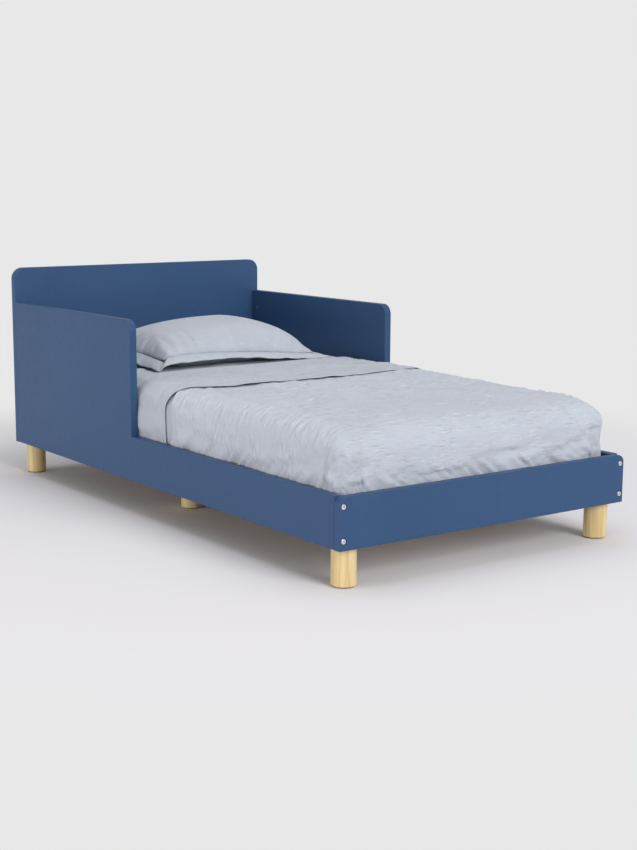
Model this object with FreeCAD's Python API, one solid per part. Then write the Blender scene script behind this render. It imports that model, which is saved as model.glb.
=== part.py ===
"""Low toddler bed with L-shaped guard panels, slatted base, mattress, bedding and pillow.

Axes: X across the bed, Y along it with the headboard at +Y, Z up.
Origin: on the floor, under the middle of the bed. Millimetres.
"""

import FreeCAD
import Part
import os

from FreeCAD import Vector

# Overall sizes of the frame
bed_length = 1378.0
bed_width = 737.0
headboard_top = 520.0
guard_top = 435.0
guard_reach = 610.0  # from the head end of the bed to the guard's front edge
leg_height = 77.0
rail_height = 100.0  # side rails and footboard

# Boards
board_thickness = 18.0
headboard_radius = 28.0
footboard_radius = 15.0
guard_radius = 25.0
edge_round = 1.5

# Slatted base
rail_lip = 20.0  # rail top above the slats' top
slat_count = 10
slat_width = 70.0
slat_thickness = 12.0
slat_round = 2.0
slat_end_gap = 33.0  # from the head and foot boards to the outermost slats
slat_side_clearance = 1.0
beam_slat = 5  # the slat over the cross beam, counted from 0 at the foot
beam_width = 45.0
beam_end_clearance = 0.5
cleat_side = 25.0
block_side = 50.0

# Legs
leg_diameter = 48.0
leg_inset = 38.0  # from the boards' outer faces to a corner leg's axis
middle_leg_spacing = 440.0
leg_chamfer = 2.0
glide_diameter = 40.0
glide_thickness = 2.0
glide_round = 0.6
glide_pin_diameter = 3.0
glide_pin_length = 14.0

# Leg fixings: a hanger bolt from each leg into a threaded insert
hanger_diameter = 8.0
hanger_in_leg = 30.0
hanger_in_block = 26.0
insert_diameter = 12.0
insert_length = 15.0

# Panel bolts with barrel nuts, and the dowels between them
bolt_diameter = 6.0
bolt_head_diameter = 11.0
bolt_head_thickness = 2.8
bolt_head_round = 1.2
bolt_socket_width = 4.0
bolt_socket_depth = 1.8
bolt_recess_diameter = 13.0
bolt_recess_depth = 3.0
bolt_past_nut = 9.0
bolt_clearance = 0.3
bolt_margin = 18.0  # from a rail's top and bottom edges
guard_bolt_margin = 47.0  # from the guard's top edge
nut_diameter = 10.0
nut_length = 14.5
nut_setback = 26.0  # from the panel's end
nut_sink = 0.5  # below the panel's inner face
nut_slot_width = 1.4
nut_slot_depth = 1.4
dowel_diameter = 8.0
dowel_in_board = 10.0
dowel_in_panel = 20.0

# Wood screws
slat_screw = {"diameter": 3.5, "head": 7.0, "length": 28.0}
cleat_screw = {"diameter": 4.0, "head": 8.0, "length": 38.0}
block_screw = {"diameter": 4.0, "head": 8.0, "length": 62.0}
bracket_screw = {"diameter": 4.0, "head": 8.0, "length": 14.0}
screw_head_thickness = 2.2
screw_recess_width = 2.6
screw_recess_depth = 1.2
block_screw_margin = 13.0  # from the block's edges

# Steel angle brackets that hang the cross beam
bracket_leg = 36.0
bracket_thickness = 2.0
bracket_cleat_gap = 4.0  # from the cleats down to the bracket's top edge
bracket_edge_gap = 3.0  # from the bracket's lower edge to the beam's lower edge
bracket_hole_offset = 22.0  # from the bracket's corner
bracket_hole_spacing = 18.0

# Fits
thread_gap = 0.05  # round a thread or dowel in its hole
drill_extra = 2.0  # a blind hole's depth past what it holds
rest_gap = 0.3  # between loose pieces that rest on each other

# Mattress and bedding
mattress_end_gap = 15.0  # to the headboard and to the footboard
mattress_side_gap = 9.5  # to each side panel
mattress_height = 140.0
mattress_corner = 45.0
mattress_shoulder = 34.0
sheet_thickness = 1.0
coverlet_thickness = 3.0
coverlet_length = 596.0  # along the mattress top, from its foot end
coverlet_hem_gap = 8.0  # from the slats to the tucked edge
top_sheet_thickness = 1.0
top_sheet_lap = 65.0  # over the coverlet's head edge
top_sheet_length = 300.0  # from its lapped edge towards the pillow

# Pillow in a flanged sham
sham_width = 490.0
sham_depth = 350.0
sham_flange = 22.0
sham_thickness = 1.5
flange_thickness = 3.0
pillow_crown = 105.0
pillow_seam_height = 27.0
pillow_corner = 60.0
pillow_side_shift = 10.0
pillow_head_gap = 141.0  # from the sham's edge to the headboard
# Height from the pillow's underside and width, as shares of its crown and its body
pillow_profile = ((0.0, 0.62), (0.07, 0.84), (0.26, 1.0), (0.5, 0.92), (0.75, 0.7), (0.92, 0.42), (1.0, 0.2))

# Places worked out from the sizes above
half_length = bed_length / 2
half_width = bed_width / 2
well_half_length = half_length - board_thickness
well_half_width = half_width - board_thickness
rail_top = leg_height + rail_height
slat_top = rail_top - rail_lip
slat_bottom = slat_top - slat_thickness
bracket_drop = cleat_side + bracket_cleat_gap
bracket_height = slat_bottom - leg_height - bracket_drop - bracket_edge_gap
guard_front = half_length - guard_reach
panel_middle = half_width - board_thickness / 2
mattress_length = 2 * (well_half_length - mattress_end_gap)
mattress_width = 2 * (well_half_width - mattress_side_gap)
leg_x = half_width - leg_inset
leg_y = half_length - leg_inset
slat_first = -well_half_length + slat_end_gap + slat_width / 2
slat_pitch = -2 * slat_first / (slat_count - 1)
slat_centres = [slat_first + slat_pitch * index for index in range(slat_count)]
beam_y = slat_centres[beam_slat]
beam_half_width = beam_width / 2
bed_base = slat_top + rest_gap
sheet_top = bed_base + mattress_height + sheet_thickness

SIDES = (("left", -1), ("right", 1))
ENDS = (("foot", -1), ("head", 1))
X_AXIS = Vector(1, 0, 0)
Y_AXIS = Vector(0, 1, 0)
Z_AXIS = Vector(0, 0, 1)


def save(node, shape):
    """Write one node's shape, a solid or a group of solids."""
    shape.exportStep(os.path.join("parts", node + ".step"))


def box(x_range, y_range, z_range):
    """A box from its three ranges, given in either order."""
    low = [min(pair) for pair in (x_range, y_range, z_range)]
    high = [max(pair) for pair in (x_range, y_range, z_range)]
    sizes = [top - bottom for bottom, top in zip(low, high)]
    return Part.makeBox(*sizes, Vector(*low))


def rod(diameter, length, start, direction):
    """A round bar from a start point along a direction."""
    return Part.makeCylinder(diameter / 2, length, start, direction)


def edges_along(shape, axis):
    """The straight edges of a shape that run along an axis."""
    found = []
    for edge in shape.Edges:
        if isinstance(edge.Curve, (Part.Line, Part.LineSegment)):
            run = edge.Vertexes[-1].Point - edge.Vertexes[0].Point
            if run.Length > 0 and abs(run.normalize().dot(axis)) > 0.999:
                found.append(edge)
    return found


def round_corners(shape, axis, corners, radius):
    """Round the edges along an axis that pass within a millimetre of the given corner points."""
    chosen = []
    for edge in edges_along(shape, axis):
        point = edge.Vertexes[0].Point
        for corner in corners:
            away = point - corner
            across = away - axis * away.dot(axis)
            if across.Length < 1.0:
                chosen.append(edge)
    return shape.makeFillet(radius, chosen)


def ease_faces(shape, normal_axis, radius):
    """Ease the outline edges of a flat board, on both of its broad faces."""
    broad = sorted(shape.Faces, key=lambda face: face.Area)[-2:]
    outline = []
    for face in broad:
        if abs(face.normalAt(0, 0).dot(normal_axis)) > 0.999:
            outline.extend(face.OuterWire.Edges)
    return shape.makeFillet(radius, outline)


def countersunk_screw(sizes, place, direction):
    """A flat-headed wood screw, its head's top at a place, with a cross recess."""
    radius = sizes["diameter"] / 2
    head = Part.makeCone(sizes["head"] / 2, radius, screw_head_thickness, place, direction)
    shank = rod(sizes["diameter"], sizes["length"], place, direction)
    return cross_recess(head.fuse(shank), place, direction)


def pan_head_screw(sizes, place, direction):
    """A pan-headed wood screw, the underside of its head at a place."""
    top = place - direction * screw_head_thickness
    head = rod(sizes["head"], screw_head_thickness, top, direction)
    shank = rod(sizes["diameter"], sizes["length"], place, direction)
    return cross_recess(head.fuse(shank), top, direction)


def cross_recess(screw, top, direction):
    """Cut a cross-shaped driver recess into a screw's head."""
    turn = FreeCAD.Rotation(Z_AXIS, direction)
    arm = screw_recess_width / 2
    blade = arm / 3
    for half_x, half_y in ((arm, blade), (blade, arm)):
        cutter = box((-half_x, half_x), (-half_y, half_y), (0, screw_recess_depth))
        cutter.Placement = FreeCAD.Placement(top, turn)
        screw = screw.cut(cutter)
    return screw


def countersunk_hole(sizes, place, direction):
    """The hole for a countersunk screw, with the head's seat."""
    radius = sizes["diameter"] / 2 + thread_gap
    seat_radius = sizes["head"] / 2 + thread_gap
    seat = Part.makeCone(seat_radius, radius, screw_head_thickness, place, direction)
    bore = rod(2 * radius, sizes["length"] + drill_extra, place, direction)
    return seat.fuse(bore)


def plain_hole(sizes, place, direction):
    """The hole for the shank of a pan-headed screw."""
    return rod(sizes["diameter"] + 2 * thread_gap, sizes["length"] + drill_extra, place, direction)


# Where the fixings go


def bolt_heights(end):
    """Heights of the panel bolts at the foot or at the head."""
    low = leg_height + bolt_margin
    if end < 0:
        return [low, rail_top - bolt_margin]
    high = guard_top - guard_bolt_margin
    return [low, (low + high) / 2, high]


def dowel_heights(end):
    """Heights of the dowels, midway between neighbouring bolts."""
    heights = bolt_heights(end)
    return [(lower + upper) / 2 for lower, upper in zip(heights, heights[1:])]


def beam_faces():
    """The beam's two long faces: place along the bed and the way each one faces."""
    return [(beam_y - beam_half_width, -1), (beam_y + beam_half_width, 1)]


def cleat_spans():
    """The stretches along the bed that the cleats take, at the foot and at the head."""
    outer = well_half_length - block_side
    return {"foot": (-outer, beam_faces()[0][0]), "head": (beam_faces()[1][0], outer)}


def slat_screw_places():
    """Tops of the slat screws: one through each end of each slat."""
    across = well_half_width - cleat_side / 2
    return [Vector(side * across, y, slat_top) for y in slat_centres for _, side in SIDES]


def cleat_screw_places(side):
    """Heads of one side's cleat screws, midway between slats."""
    height = slat_bottom - cleat_side / 2
    across = side * (well_half_width - cleat_side)
    middles = [y + slat_pitch / 2 for y in slat_centres[:-1]]
    clear = beam_half_width + cleat_side / 2
    return [Vector(across, y, height) for y in middles if abs(y - beam_y) > clear]


def block_screw_places(side, end):
    """Heads of one corner block's screws, which run out into the side panel."""
    height = (leg_height + slat_bottom) / 2
    across = side * (well_half_width - block_side)
    offsets = (block_screw_margin, block_side - block_screw_margin)
    return [Vector(across, end * (well_half_length - offset), height) for offset in offsets]


def bracket_screw_places(side, face_y, facing):
    """Seats and directions of the four screws of one beam bracket."""
    middle = slat_bottom - bracket_drop - bracket_height / 2
    places = []
    for step in (-bracket_hole_spacing / 2, bracket_hole_spacing / 2):
        height = middle + step
        on_panel = Vector(
            side * (well_half_width - bracket_thickness), face_y + facing * bracket_hole_offset, height
        )
        on_beam = Vector(
            side * (well_half_width - bracket_hole_offset), face_y + facing * bracket_thickness, height
        )
        places.append((on_panel, X_AXIS * side))
        places.append((on_beam, Y_AXIS * -facing))
    return places


def leg_places():
    """Names and axes of the six legs."""
    places = {}
    for end_name, end in ENDS:
        for side_name, side in SIDES:
            places[f"{end_name}_{side_name}"] = Vector(side * leg_x, end * leg_y, 0)
    for side_name, side in SIDES:
        places[f"middle_{side_name}"] = Vector(side * middle_leg_spacing / 2, beam_y, 0)
    return places


# Boards


def cut_bolt_and_dowel_holes(board, end):
    """Recesses and holes in a headboard or footboard for its bolts and dowels."""
    for _, side in SIDES:
        for height in bolt_heights(end):
            outer = Vector(side * panel_middle, end * half_length, height)
            board = board.cut(rod(bolt_recess_diameter, bolt_recess_depth, outer, Y_AXIS * -end))
            hole = rod(bolt_diameter + 2 * bolt_clearance, board_thickness, outer, Y_AXIS * -end)
            board = board.cut(hole)
        for height in dowel_heights(end):
            inner = Vector(side * panel_middle, end * well_half_length, height)
            depth = dowel_in_board + drill_extra / 2
            board = board.cut(rod(dowel_diameter + 2 * thread_gap, depth, inner, Y_AXIS * end))
    return board


def end_board(end, top, corner_radius):
    """A headboard or footboard with rounded top corners."""
    board = box((-half_width, half_width), (end * half_length, end * well_half_length), (leg_height, top))
    corners = [Vector(side * half_width, 0, top) for _, side in SIDES]
    board = round_corners(board, Y_AXIS, corners, corner_radius)
    board = ease_faces(board, Y_AXIS, edge_round)
    return cut_bolt_and_dowel_holes(board, end)


def side_panel(side):
    """One L-shaped side: a low rail with a raised guard at the head end, in one piece."""
    across = (side * half_width, side * well_half_width)
    rail = box(across, (-well_half_length, well_half_length), (leg_height, rail_top))
    guard = box(across, (guard_front, well_half_length), (leg_height, guard_top))
    panel = rail.fuse(guard).removeSplitter()
    panel = round_corners(panel, X_AXIS, [Vector(0, guard_front, guard_top)], guard_radius)
    panel = ease_faces(panel, X_AXIS, edge_round)
    inner = side * well_half_width
    for _, end in ENDS:
        end_y = end * well_half_length
        for height in bolt_heights(end):
            bore_length = nut_setback + bolt_past_nut + drill_extra
            start = Vector(side * panel_middle, end_y, height)
            panel = panel.cut(rod(bolt_diameter + 2 * bolt_clearance, bore_length, start, Y_AXIS * -end))
            nut_start = Vector(inner, end_y - end * nut_setback, height)
            nut_bore = rod(nut_diameter + 2 * thread_gap, nut_length + nut_sink, nut_start, X_AXIS * side)
            panel = panel.cut(nut_bore)
        for height in dowel_heights(end):
            start = Vector(side * panel_middle, end_y, height)
            depth = dowel_in_panel + drill_extra / 2
            panel = panel.cut(rod(dowel_diameter + 2 * thread_gap, depth, start, Y_AXIS * -end))
        for place in block_screw_places(side, end):
            panel = panel.cut(countersunk_hole(block_screw, place, X_AXIS * side))
    for place in cleat_screw_places(side):
        panel = panel.cut(countersunk_hole(cleat_screw, place, X_AXIS * side))
    for face_y, facing in beam_faces():
        for place, direction in bracket_screw_places(side, face_y, facing):
            if abs(direction.x) > 0.5:
                panel = panel.cut(plain_hole(bracket_screw, place, direction))
    return panel


# Slatted base


def cleat(side, end_name):
    """A square cleat along one side panel, which carries the slats' ends."""
    inner = side * (well_half_width - cleat_side)
    span = cleat_spans()[end_name]
    bar = box((side * well_half_width, inner), span, (slat_bottom - cleat_side, slat_bottom))
    for place in cleat_screw_places(side):
        if span[0] < place.y < span[1]:
            bar = bar.cut(countersunk_hole(cleat_screw, place, X_AXIS * side))
    for place in slat_screw_places():
        if place.x * side > 0 and span[0] < place.y < span[1]:
            bar = bar.cut(countersunk_hole(slat_screw, place, -Z_AXIS))
    return bar


def leg_socket(axis):
    """The hole for a threaded insert and the hanger bolt above it."""
    start = Vector(axis.x, axis.y, leg_height)
    insert_hole = rod(insert_diameter + 2 * thread_gap, insert_length, start, Z_AXIS)
    bolt_hole = rod(hanger_diameter + 2 * thread_gap, hanger_in_block + drill_extra, start, Z_AXIS)
    return insert_hole.fuse(bolt_hole)


def corner_block(side, end):
    """A block in one corner of the frame, which takes a leg and an outermost slat."""
    across = (side * (well_half_width - block_side), side * well_half_width)
    along = (end * (well_half_length - block_side), end * well_half_length)
    block = box(across, along, (leg_height, slat_bottom))
    block = block.cut(leg_socket(Vector(side * leg_x, end * leg_y, 0)))
    for place in block_screw_places(side, end):
        block = block.cut(countersunk_hole(block_screw, place, X_AXIS * side))
    return block


def cross_beam():
    """The beam across the bed that carries the middle legs and one slat."""
    reach = well_half_width - beam_end_clearance
    along = (beam_y - beam_half_width, beam_y + beam_half_width)
    beam = box((-reach, reach), along, (leg_height, slat_bottom))
    for name, axis in leg_places().items():
        if name.startswith("middle"):
            beam = beam.cut(leg_socket(axis))
    for place in slat_screw_places():
        if abs(place.y - beam_y) < beam_half_width:
            beam = beam.cut(countersunk_hole(slat_screw, place, -Z_AXIS))
    for _, side in SIDES:
        for face_y, facing in beam_faces():
            for place, direction in bracket_screw_places(side, face_y, facing):
                if abs(direction.y) > 0.5:
                    beam = beam.cut(plain_hole(bracket_screw, place, direction))
    return beam


def beam_bracket(side, face_y, facing):
    """A steel angle between a side panel's inner face and one face of the beam."""
    corner_x = side * well_half_width
    top = slat_bottom - bracket_drop
    heights = (top - bracket_height, top)
    on_panel = box(
        (corner_x, corner_x - side * bracket_thickness), (face_y, face_y + facing * bracket_leg), heights
    )
    on_beam = box(
        (corner_x, corner_x - side * bracket_leg), (face_y, face_y + facing * bracket_thickness), heights
    )
    bracket = on_panel.fuse(on_beam).removeSplitter()
    for place, direction in bracket_screw_places(side, face_y, facing):
        hole = rod(
            bracket_screw["diameter"] + 2 * thread_gap,
            2 * bracket_thickness,
            place - direction * bracket_thickness,
            direction,
        )
        bracket = bracket.cut(hole)
    return bracket


def slat(y):
    """One slat across the bed, with eased long edges."""
    reach = well_half_width - slat_side_clearance
    half = slat_width / 2
    board = box((-reach, reach), (y - half, y + half), (slat_bottom, slat_top))
    board = board.makeFillet(slat_round, edges_along(board, X_AXIS))
    for place in slat_screw_places():
        if abs(place.y - y) < half:
            board = board.cut(countersunk_hole(slat_screw, place, -Z_AXIS))
    return board


# Legs and glides


def leg(axis):
    """A turned round leg, drilled for its hanger bolt and for its glide's pin."""
    foot = Vector(axis.x, axis.y, glide_thickness)
    body = rod(leg_diameter, leg_height - glide_thickness, foot, Z_AXIS)
    rims = [edge for edge in body.Edges if isinstance(edge.Curve, Part.Circle)]
    lowest = min(rims, key=lambda edge: edge.CenterOfMass.z)
    body = body.makeChamfer(leg_chamfer, [lowest])
    top = Vector(axis.x, axis.y, leg_height)
    body = body.cut(rod(hanger_diameter + 2 * thread_gap, hanger_in_leg + drill_extra, top, -Z_AXIS))
    pin_hole = rod(glide_pin_diameter + 2 * thread_gap, glide_pin_length + drill_extra, foot, Z_AXIS)
    return body.cut(pin_hole)


def glide(axis):
    """A nail-on glide under a leg."""
    disc = rod(glide_diameter, glide_thickness, axis, Z_AXIS)
    rims = [edge for edge in disc.Edges if isinstance(edge.Curve, Part.Circle)]
    lowest = min(rims, key=lambda edge: edge.CenterOfMass.z)
    disc = disc.makeFillet(glide_round, [lowest])
    pin_start = axis + Z_AXIS * (glide_thickness / 2)
    pin = rod(glide_pin_diameter, glide_thickness / 2 + glide_pin_length, pin_start, Z_AXIS)
    return disc.fuse(pin).removeSplitter()


def hanger_bolt(axis):
    """The double-ended bolt between a leg and its insert."""
    start = Vector(axis.x, axis.y, leg_height - hanger_in_leg)
    return rod(hanger_diameter, hanger_in_leg + hanger_in_block, start, Z_AXIS)


def leg_insert(axis):
    """The threaded insert above a leg."""
    start = Vector(axis.x, axis.y, leg_height)
    sleeve = rod(insert_diameter, insert_length, start, Z_AXIS)
    return sleeve.cut(rod(hanger_diameter + 2 * thread_gap, insert_length, start, Z_AXIS))


# Panel bolts


def panel_bolt(side, end, height):
    """A button-headed bolt with a hexagon socket, sunk in its board's outer face."""
    seat = Vector(side * panel_middle, end * (half_length - bolt_recess_depth), height)
    outwards = Y_AXIS * end
    head = rod(bolt_head_diameter, bolt_head_thickness, seat, outwards)
    rims = [edge for edge in head.Edges if isinstance(edge.Curve, Part.Circle)]
    outer_rim = max(rims, key=lambda edge: end * edge.CenterOfMass.y)
    head = head.makeFillet(bolt_head_round, [outer_rim])
    length = board_thickness - bolt_recess_depth + nut_setback + bolt_past_nut
    bolt = head.fuse(rod(bolt_diameter, length, seat, -outwards)).removeSplitter()
    socket_wire = Part.makePolygon(hexagon(bolt_socket_width))
    socket = Part.Face(socket_wire).extrude(Z_AXIS * bolt_socket_depth)
    top = seat + outwards * bolt_head_thickness
    socket.Placement = FreeCAD.Placement(top, FreeCAD.Rotation(Z_AXIS, -outwards))
    return bolt.cut(socket)


def hexagon(across_flats):
    """The closed outline of a regular hexagon in the XY plane."""
    corner = Vector(across_flats / 3**0.5, 0, 0)
    turns = [FreeCAD.Rotation(Z_AXIS, 60 * step) for step in range(7)]
    return [turn.multVec(corner) for turn in turns]


def barrel_nut(side, end, height):
    """A cross-drilled barrel nut with a driver slot, set in a panel's inner face."""
    inner = side * (well_half_width + nut_sink)
    axis_y = end * (well_half_length - nut_setback)
    outwards = X_AXIS * side
    start = Vector(inner, axis_y, height)
    nut = rod(nut_diameter, nut_length, start, outwards)
    thread_start = Vector(side * panel_middle, axis_y - nut_diameter, height)
    nut = nut.cut(rod(bolt_diameter + 2 * thread_gap, 2 * nut_diameter, thread_start, Y_AXIS))
    slot = box(
        (inner, inner + side * nut_slot_depth),
        (axis_y - nut_diameter, axis_y + nut_diameter),
        (height - nut_slot_width / 2, height + nut_slot_width / 2),
    )
    return nut.cut(slot)


def dowel(side, end, height):
    """A wooden dowel across the joint between an end board and a side panel."""
    start = Vector(side * panel_middle, end * (well_half_length - dowel_in_panel), height)
    return rod(dowel_diameter, dowel_in_panel + dowel_in_board, start, Y_AXIS * end)


# Mattress and bedding


def slab(grow, bottom):
    """A block with rounded corners and shoulders, larger than the mattress by grow on top and sides."""
    half_x = mattress_width / 2 + grow
    half_y = mattress_length / 2 + grow
    top = bed_base + mattress_height + grow
    block = box((-half_x, half_x), (-half_y, half_y), (bottom, top))
    block = block.makeFillet(mattress_corner + grow, edges_along(block, Z_AXIS))
    rim = [edge for edge in block.Edges if min(v.Point.z for v in edge.Vertexes) > top - 0.01]
    return block.makeFillet(mattress_shoulder + grow, rim)


def coverlet():
    """The coverlet over the foot part of the bed, tucked down inside the rails."""
    outer = slab(sheet_thickness + coverlet_thickness, bed_base)
    skin = outer.cut(slab(sheet_thickness, bed_base))
    head_edge = coverlet_length - mattress_length / 2
    reach = half_width
    kept = box((-reach, reach), (-half_length, head_edge), (slat_top + coverlet_hem_gap, headboard_top))
    return skin.common(kept)


def top_sheet():
    """The turned-down end of the top sheet, which laps over the coverlet's head edge."""
    under = sheet_thickness + coverlet_thickness
    head_edge = coverlet_length - mattress_length / 2
    lap_edge = head_edge - top_sheet_lap
    across = (-half_width, half_width)
    heights = (slat_top + coverlet_hem_gap, headboard_top)
    outer = slab(under + top_sheet_thickness, bed_base)
    lap = outer.cut(slab(under, bed_base)).common(box(across, (lap_edge, head_edge), heights))
    folded = outer.cut(slab(sheet_thickness, bed_base))
    folded = folded.common(box(across, (head_edge, lap_edge + top_sheet_length), heights))
    return lap.fuse(folded).removeSplitter()


# Pillow


def rounded_rectangle(half_x, half_y, radius, centre):
    """A level rectangular outline with round corners."""
    radius = min(radius, 0.95 * half_x, 0.95 * half_y)
    corners = []
    for sign_x, sign_y in ((1, 1), (-1, 1), (-1, -1), (1, -1)):
        corners.append(centre + Vector(sign_x * half_x, sign_y * half_y, 0))
    edges = []
    for index, corner in enumerate(corners):
        before = (corners[index - 1] - corner).normalize()
        after = (corners[(index + 1) % 4] - corner).normalize()
        heart = corner + (before + after) * radius
        middle = heart - (before + after).normalize() * radius
        edges.append(Part.Arc(corner + before * radius, middle, corner + after * radius).toShape())
    for index in range(4):
        start = edges[index].Vertexes[-1].Point
        end = edges[(index + 1) % 4].Vertexes[0].Point
        edges.append(Part.LineSegment(start, end).toShape())
    return Part.Wire(Part.__sortEdges__(edges))


def pillow_centre():
    """The middle of the pillow, level with its underside."""
    y = well_half_length - pillow_head_gap - sham_depth / 2
    return Vector(pillow_side_shift, y, sheet_top + rest_gap)


def pillow_body(inset):
    """The stuffed form of the pillow, drawn in by an inset all round."""
    half_x = sham_width / 2 - sham_flange
    half_y = sham_depth / 2 - sham_flange
    height = pillow_crown - 2 * inset
    sections = []
    for rise, share in pillow_profile:
        centre = pillow_centre() + Vector(0, 0, inset + rise * height)
        radius = pillow_corner * share
        outline = rounded_rectangle(share * half_x - inset, share * half_y - inset, radius, centre)
        sections.append(outline)
    return Part.makeLoft(sections, True, True)


def pillow_sham():
    """The sham: a sewn cover with a flat flange round it."""
    centre = pillow_centre() + Vector(0, 0, pillow_seam_height - flange_thickness / 2)
    outline = rounded_rectangle(sham_width / 2, sham_depth / 2, sham_flange, centre)
    flange = Part.Face(outline).extrude(Z_AXIS * flange_thickness)
    return pillow_body(0).fuse(flange).cut(pillow_body(sham_thickness))


# Build and save every node


def build_boards():
    """The two end boards and the two side panels."""
    save("headboard", end_board(1, headboard_top, headboard_radius))
    save("footboard", end_board(-1, rail_top, footboard_radius))
    for side_name, side in SIDES:
        save(f"{side_name}_side_panel", side_panel(side))


def build_base():
    """Cleats, corner blocks, the cross beam with its brackets, and the slats."""
    for side_name, side in SIDES:
        for end_name, end in ENDS:
            save(f"{side_name}_{end_name}_cleat", cleat(side, end_name))
            save(f"{side_name}_{end_name}_corner_block", corner_block(side, end))
        for (end_name, _), (face_y, facing) in zip(ENDS, beam_faces()):
            save(f"{side_name}_{end_name}_beam_bracket", beam_bracket(side, face_y, facing))
    save("cross_beam", cross_beam())
    for index, y in enumerate(slat_centres):
        save(f"slat_{index + 1:02d}", slat(y))


def build_legs():
    """Six legs with their glides, hanger bolts and inserts."""
    places = leg_places()
    for name, axis in places.items():
        save(f"{name}_leg", leg(axis))
        save(f"{name}_glide", glide(axis))
    save("leg_hanger_bolts", Part.makeCompound([hanger_bolt(axis) for axis in places.values()]))
    save("leg_threaded_inserts", Part.makeCompound([leg_insert(axis) for axis in places.values()]))


def build_fixings():
    """Bolts, nuts, dowels and screws, each kind in one node."""
    nuts = []
    dowels = []
    for end_name, end in ENDS:
        spots = [(side, end, height) for _, side in SIDES for height in bolt_heights(end)]
        save(f"{end_name}board_bolts", Part.makeCompound([panel_bolt(*spot) for spot in spots]))
        nuts.extend(barrel_nut(*spot) for spot in spots)
        dowels.extend(dowel(side, end, height) for _, side in SIDES for height in dowel_heights(end))
    save("barrel_nuts", Part.makeCompound(nuts))
    save("alignment_dowels", Part.makeCompound(dowels))
    slat_screws = [countersunk_screw(slat_screw, place, -Z_AXIS) for place in slat_screw_places()]
    save("slat_screws", Part.makeCompound(slat_screws))
    cleat_screws = []
    block_screws = []
    bracket_screws = []
    for _, side in SIDES:
        outwards = X_AXIS * side
        cleat_screws.extend(countersunk_screw(cleat_screw, p, outwards) for p in cleat_screw_places(side))
        for _, end in ENDS:
            for place in block_screw_places(side, end):
                block_screws.append(countersunk_screw(block_screw, place, outwards))
        for face_y, facing in beam_faces():
            for place, direction in bracket_screw_places(side, face_y, facing):
                bracket_screws.append(pan_head_screw(bracket_screw, place, direction))
    save("cleat_screws", Part.makeCompound(cleat_screws))
    save("corner_block_screws", Part.makeCompound(block_screws))
    save("bracket_screws", Part.makeCompound(bracket_screws))


def build_bedding():
    """Mattress, fitted sheet, coverlet, top sheet and pillow."""
    mattress = slab(0, bed_base)
    save("mattress", mattress)
    save("fitted_sheet", slab(sheet_thickness, bed_base).cut(mattress))
    save("coverlet", coverlet())
    save("top_sheet", top_sheet())
    save("pillow_insert", pillow_body(sham_thickness))
    save("pillow_sham", pillow_sham())


os.makedirs("parts", exist_ok=True)
build_boards()
build_base()
build_legs()
build_fixings()
build_bedding()
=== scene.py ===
"""Toddler bed: finishes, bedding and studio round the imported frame.

The painted boards, legs, slats and fixings are the frame's own nodes and get their finishes here.
The mattress, fitted sheet, coverlet, turned-down top sheet and pillow are made here as soft goods.
"""

import logging
import math
from dataclasses import dataclass, field
from enum import Enum
from typing import Mapping, Sequence

import bpy
import numpy as np
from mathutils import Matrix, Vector


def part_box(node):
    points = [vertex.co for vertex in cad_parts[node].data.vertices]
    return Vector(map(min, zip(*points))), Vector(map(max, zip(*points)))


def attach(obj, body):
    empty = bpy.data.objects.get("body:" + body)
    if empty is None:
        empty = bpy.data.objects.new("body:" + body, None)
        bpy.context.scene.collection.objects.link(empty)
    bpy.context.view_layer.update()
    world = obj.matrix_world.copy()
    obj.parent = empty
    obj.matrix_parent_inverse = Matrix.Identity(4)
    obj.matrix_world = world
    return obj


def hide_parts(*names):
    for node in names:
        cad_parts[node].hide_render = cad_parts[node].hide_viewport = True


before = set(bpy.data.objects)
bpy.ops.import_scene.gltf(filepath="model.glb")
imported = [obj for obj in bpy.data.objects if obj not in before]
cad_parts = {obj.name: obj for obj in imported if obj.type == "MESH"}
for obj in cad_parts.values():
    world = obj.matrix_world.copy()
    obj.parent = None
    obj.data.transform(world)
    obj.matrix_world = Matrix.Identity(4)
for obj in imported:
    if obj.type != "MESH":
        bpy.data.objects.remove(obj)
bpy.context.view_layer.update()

LOG = logging.getLogger("toddler_bed")
Colour = tuple[float, float, float, float]
NOISE_SPAN = (0.3, 0.7)
SWELL_CELLS = 128
FORM_BELOW_HEM = 0.010
STITCH_LIFT = 0.0001


# Shader helpers


class PatternSpace(Enum):
    """Which coordinates a finish's pattern follows."""

    BOARD = "Object"
    CLOTH = "UV"


class Axis(Enum):
    """Direction that a wood's grain runs in, as the stretch of its pattern."""

    X = (0.045, 1.0, 1.0)
    Y = (1.0, 0.045, 1.0)
    Z = (1.0, 1.0, 0.045)


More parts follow.
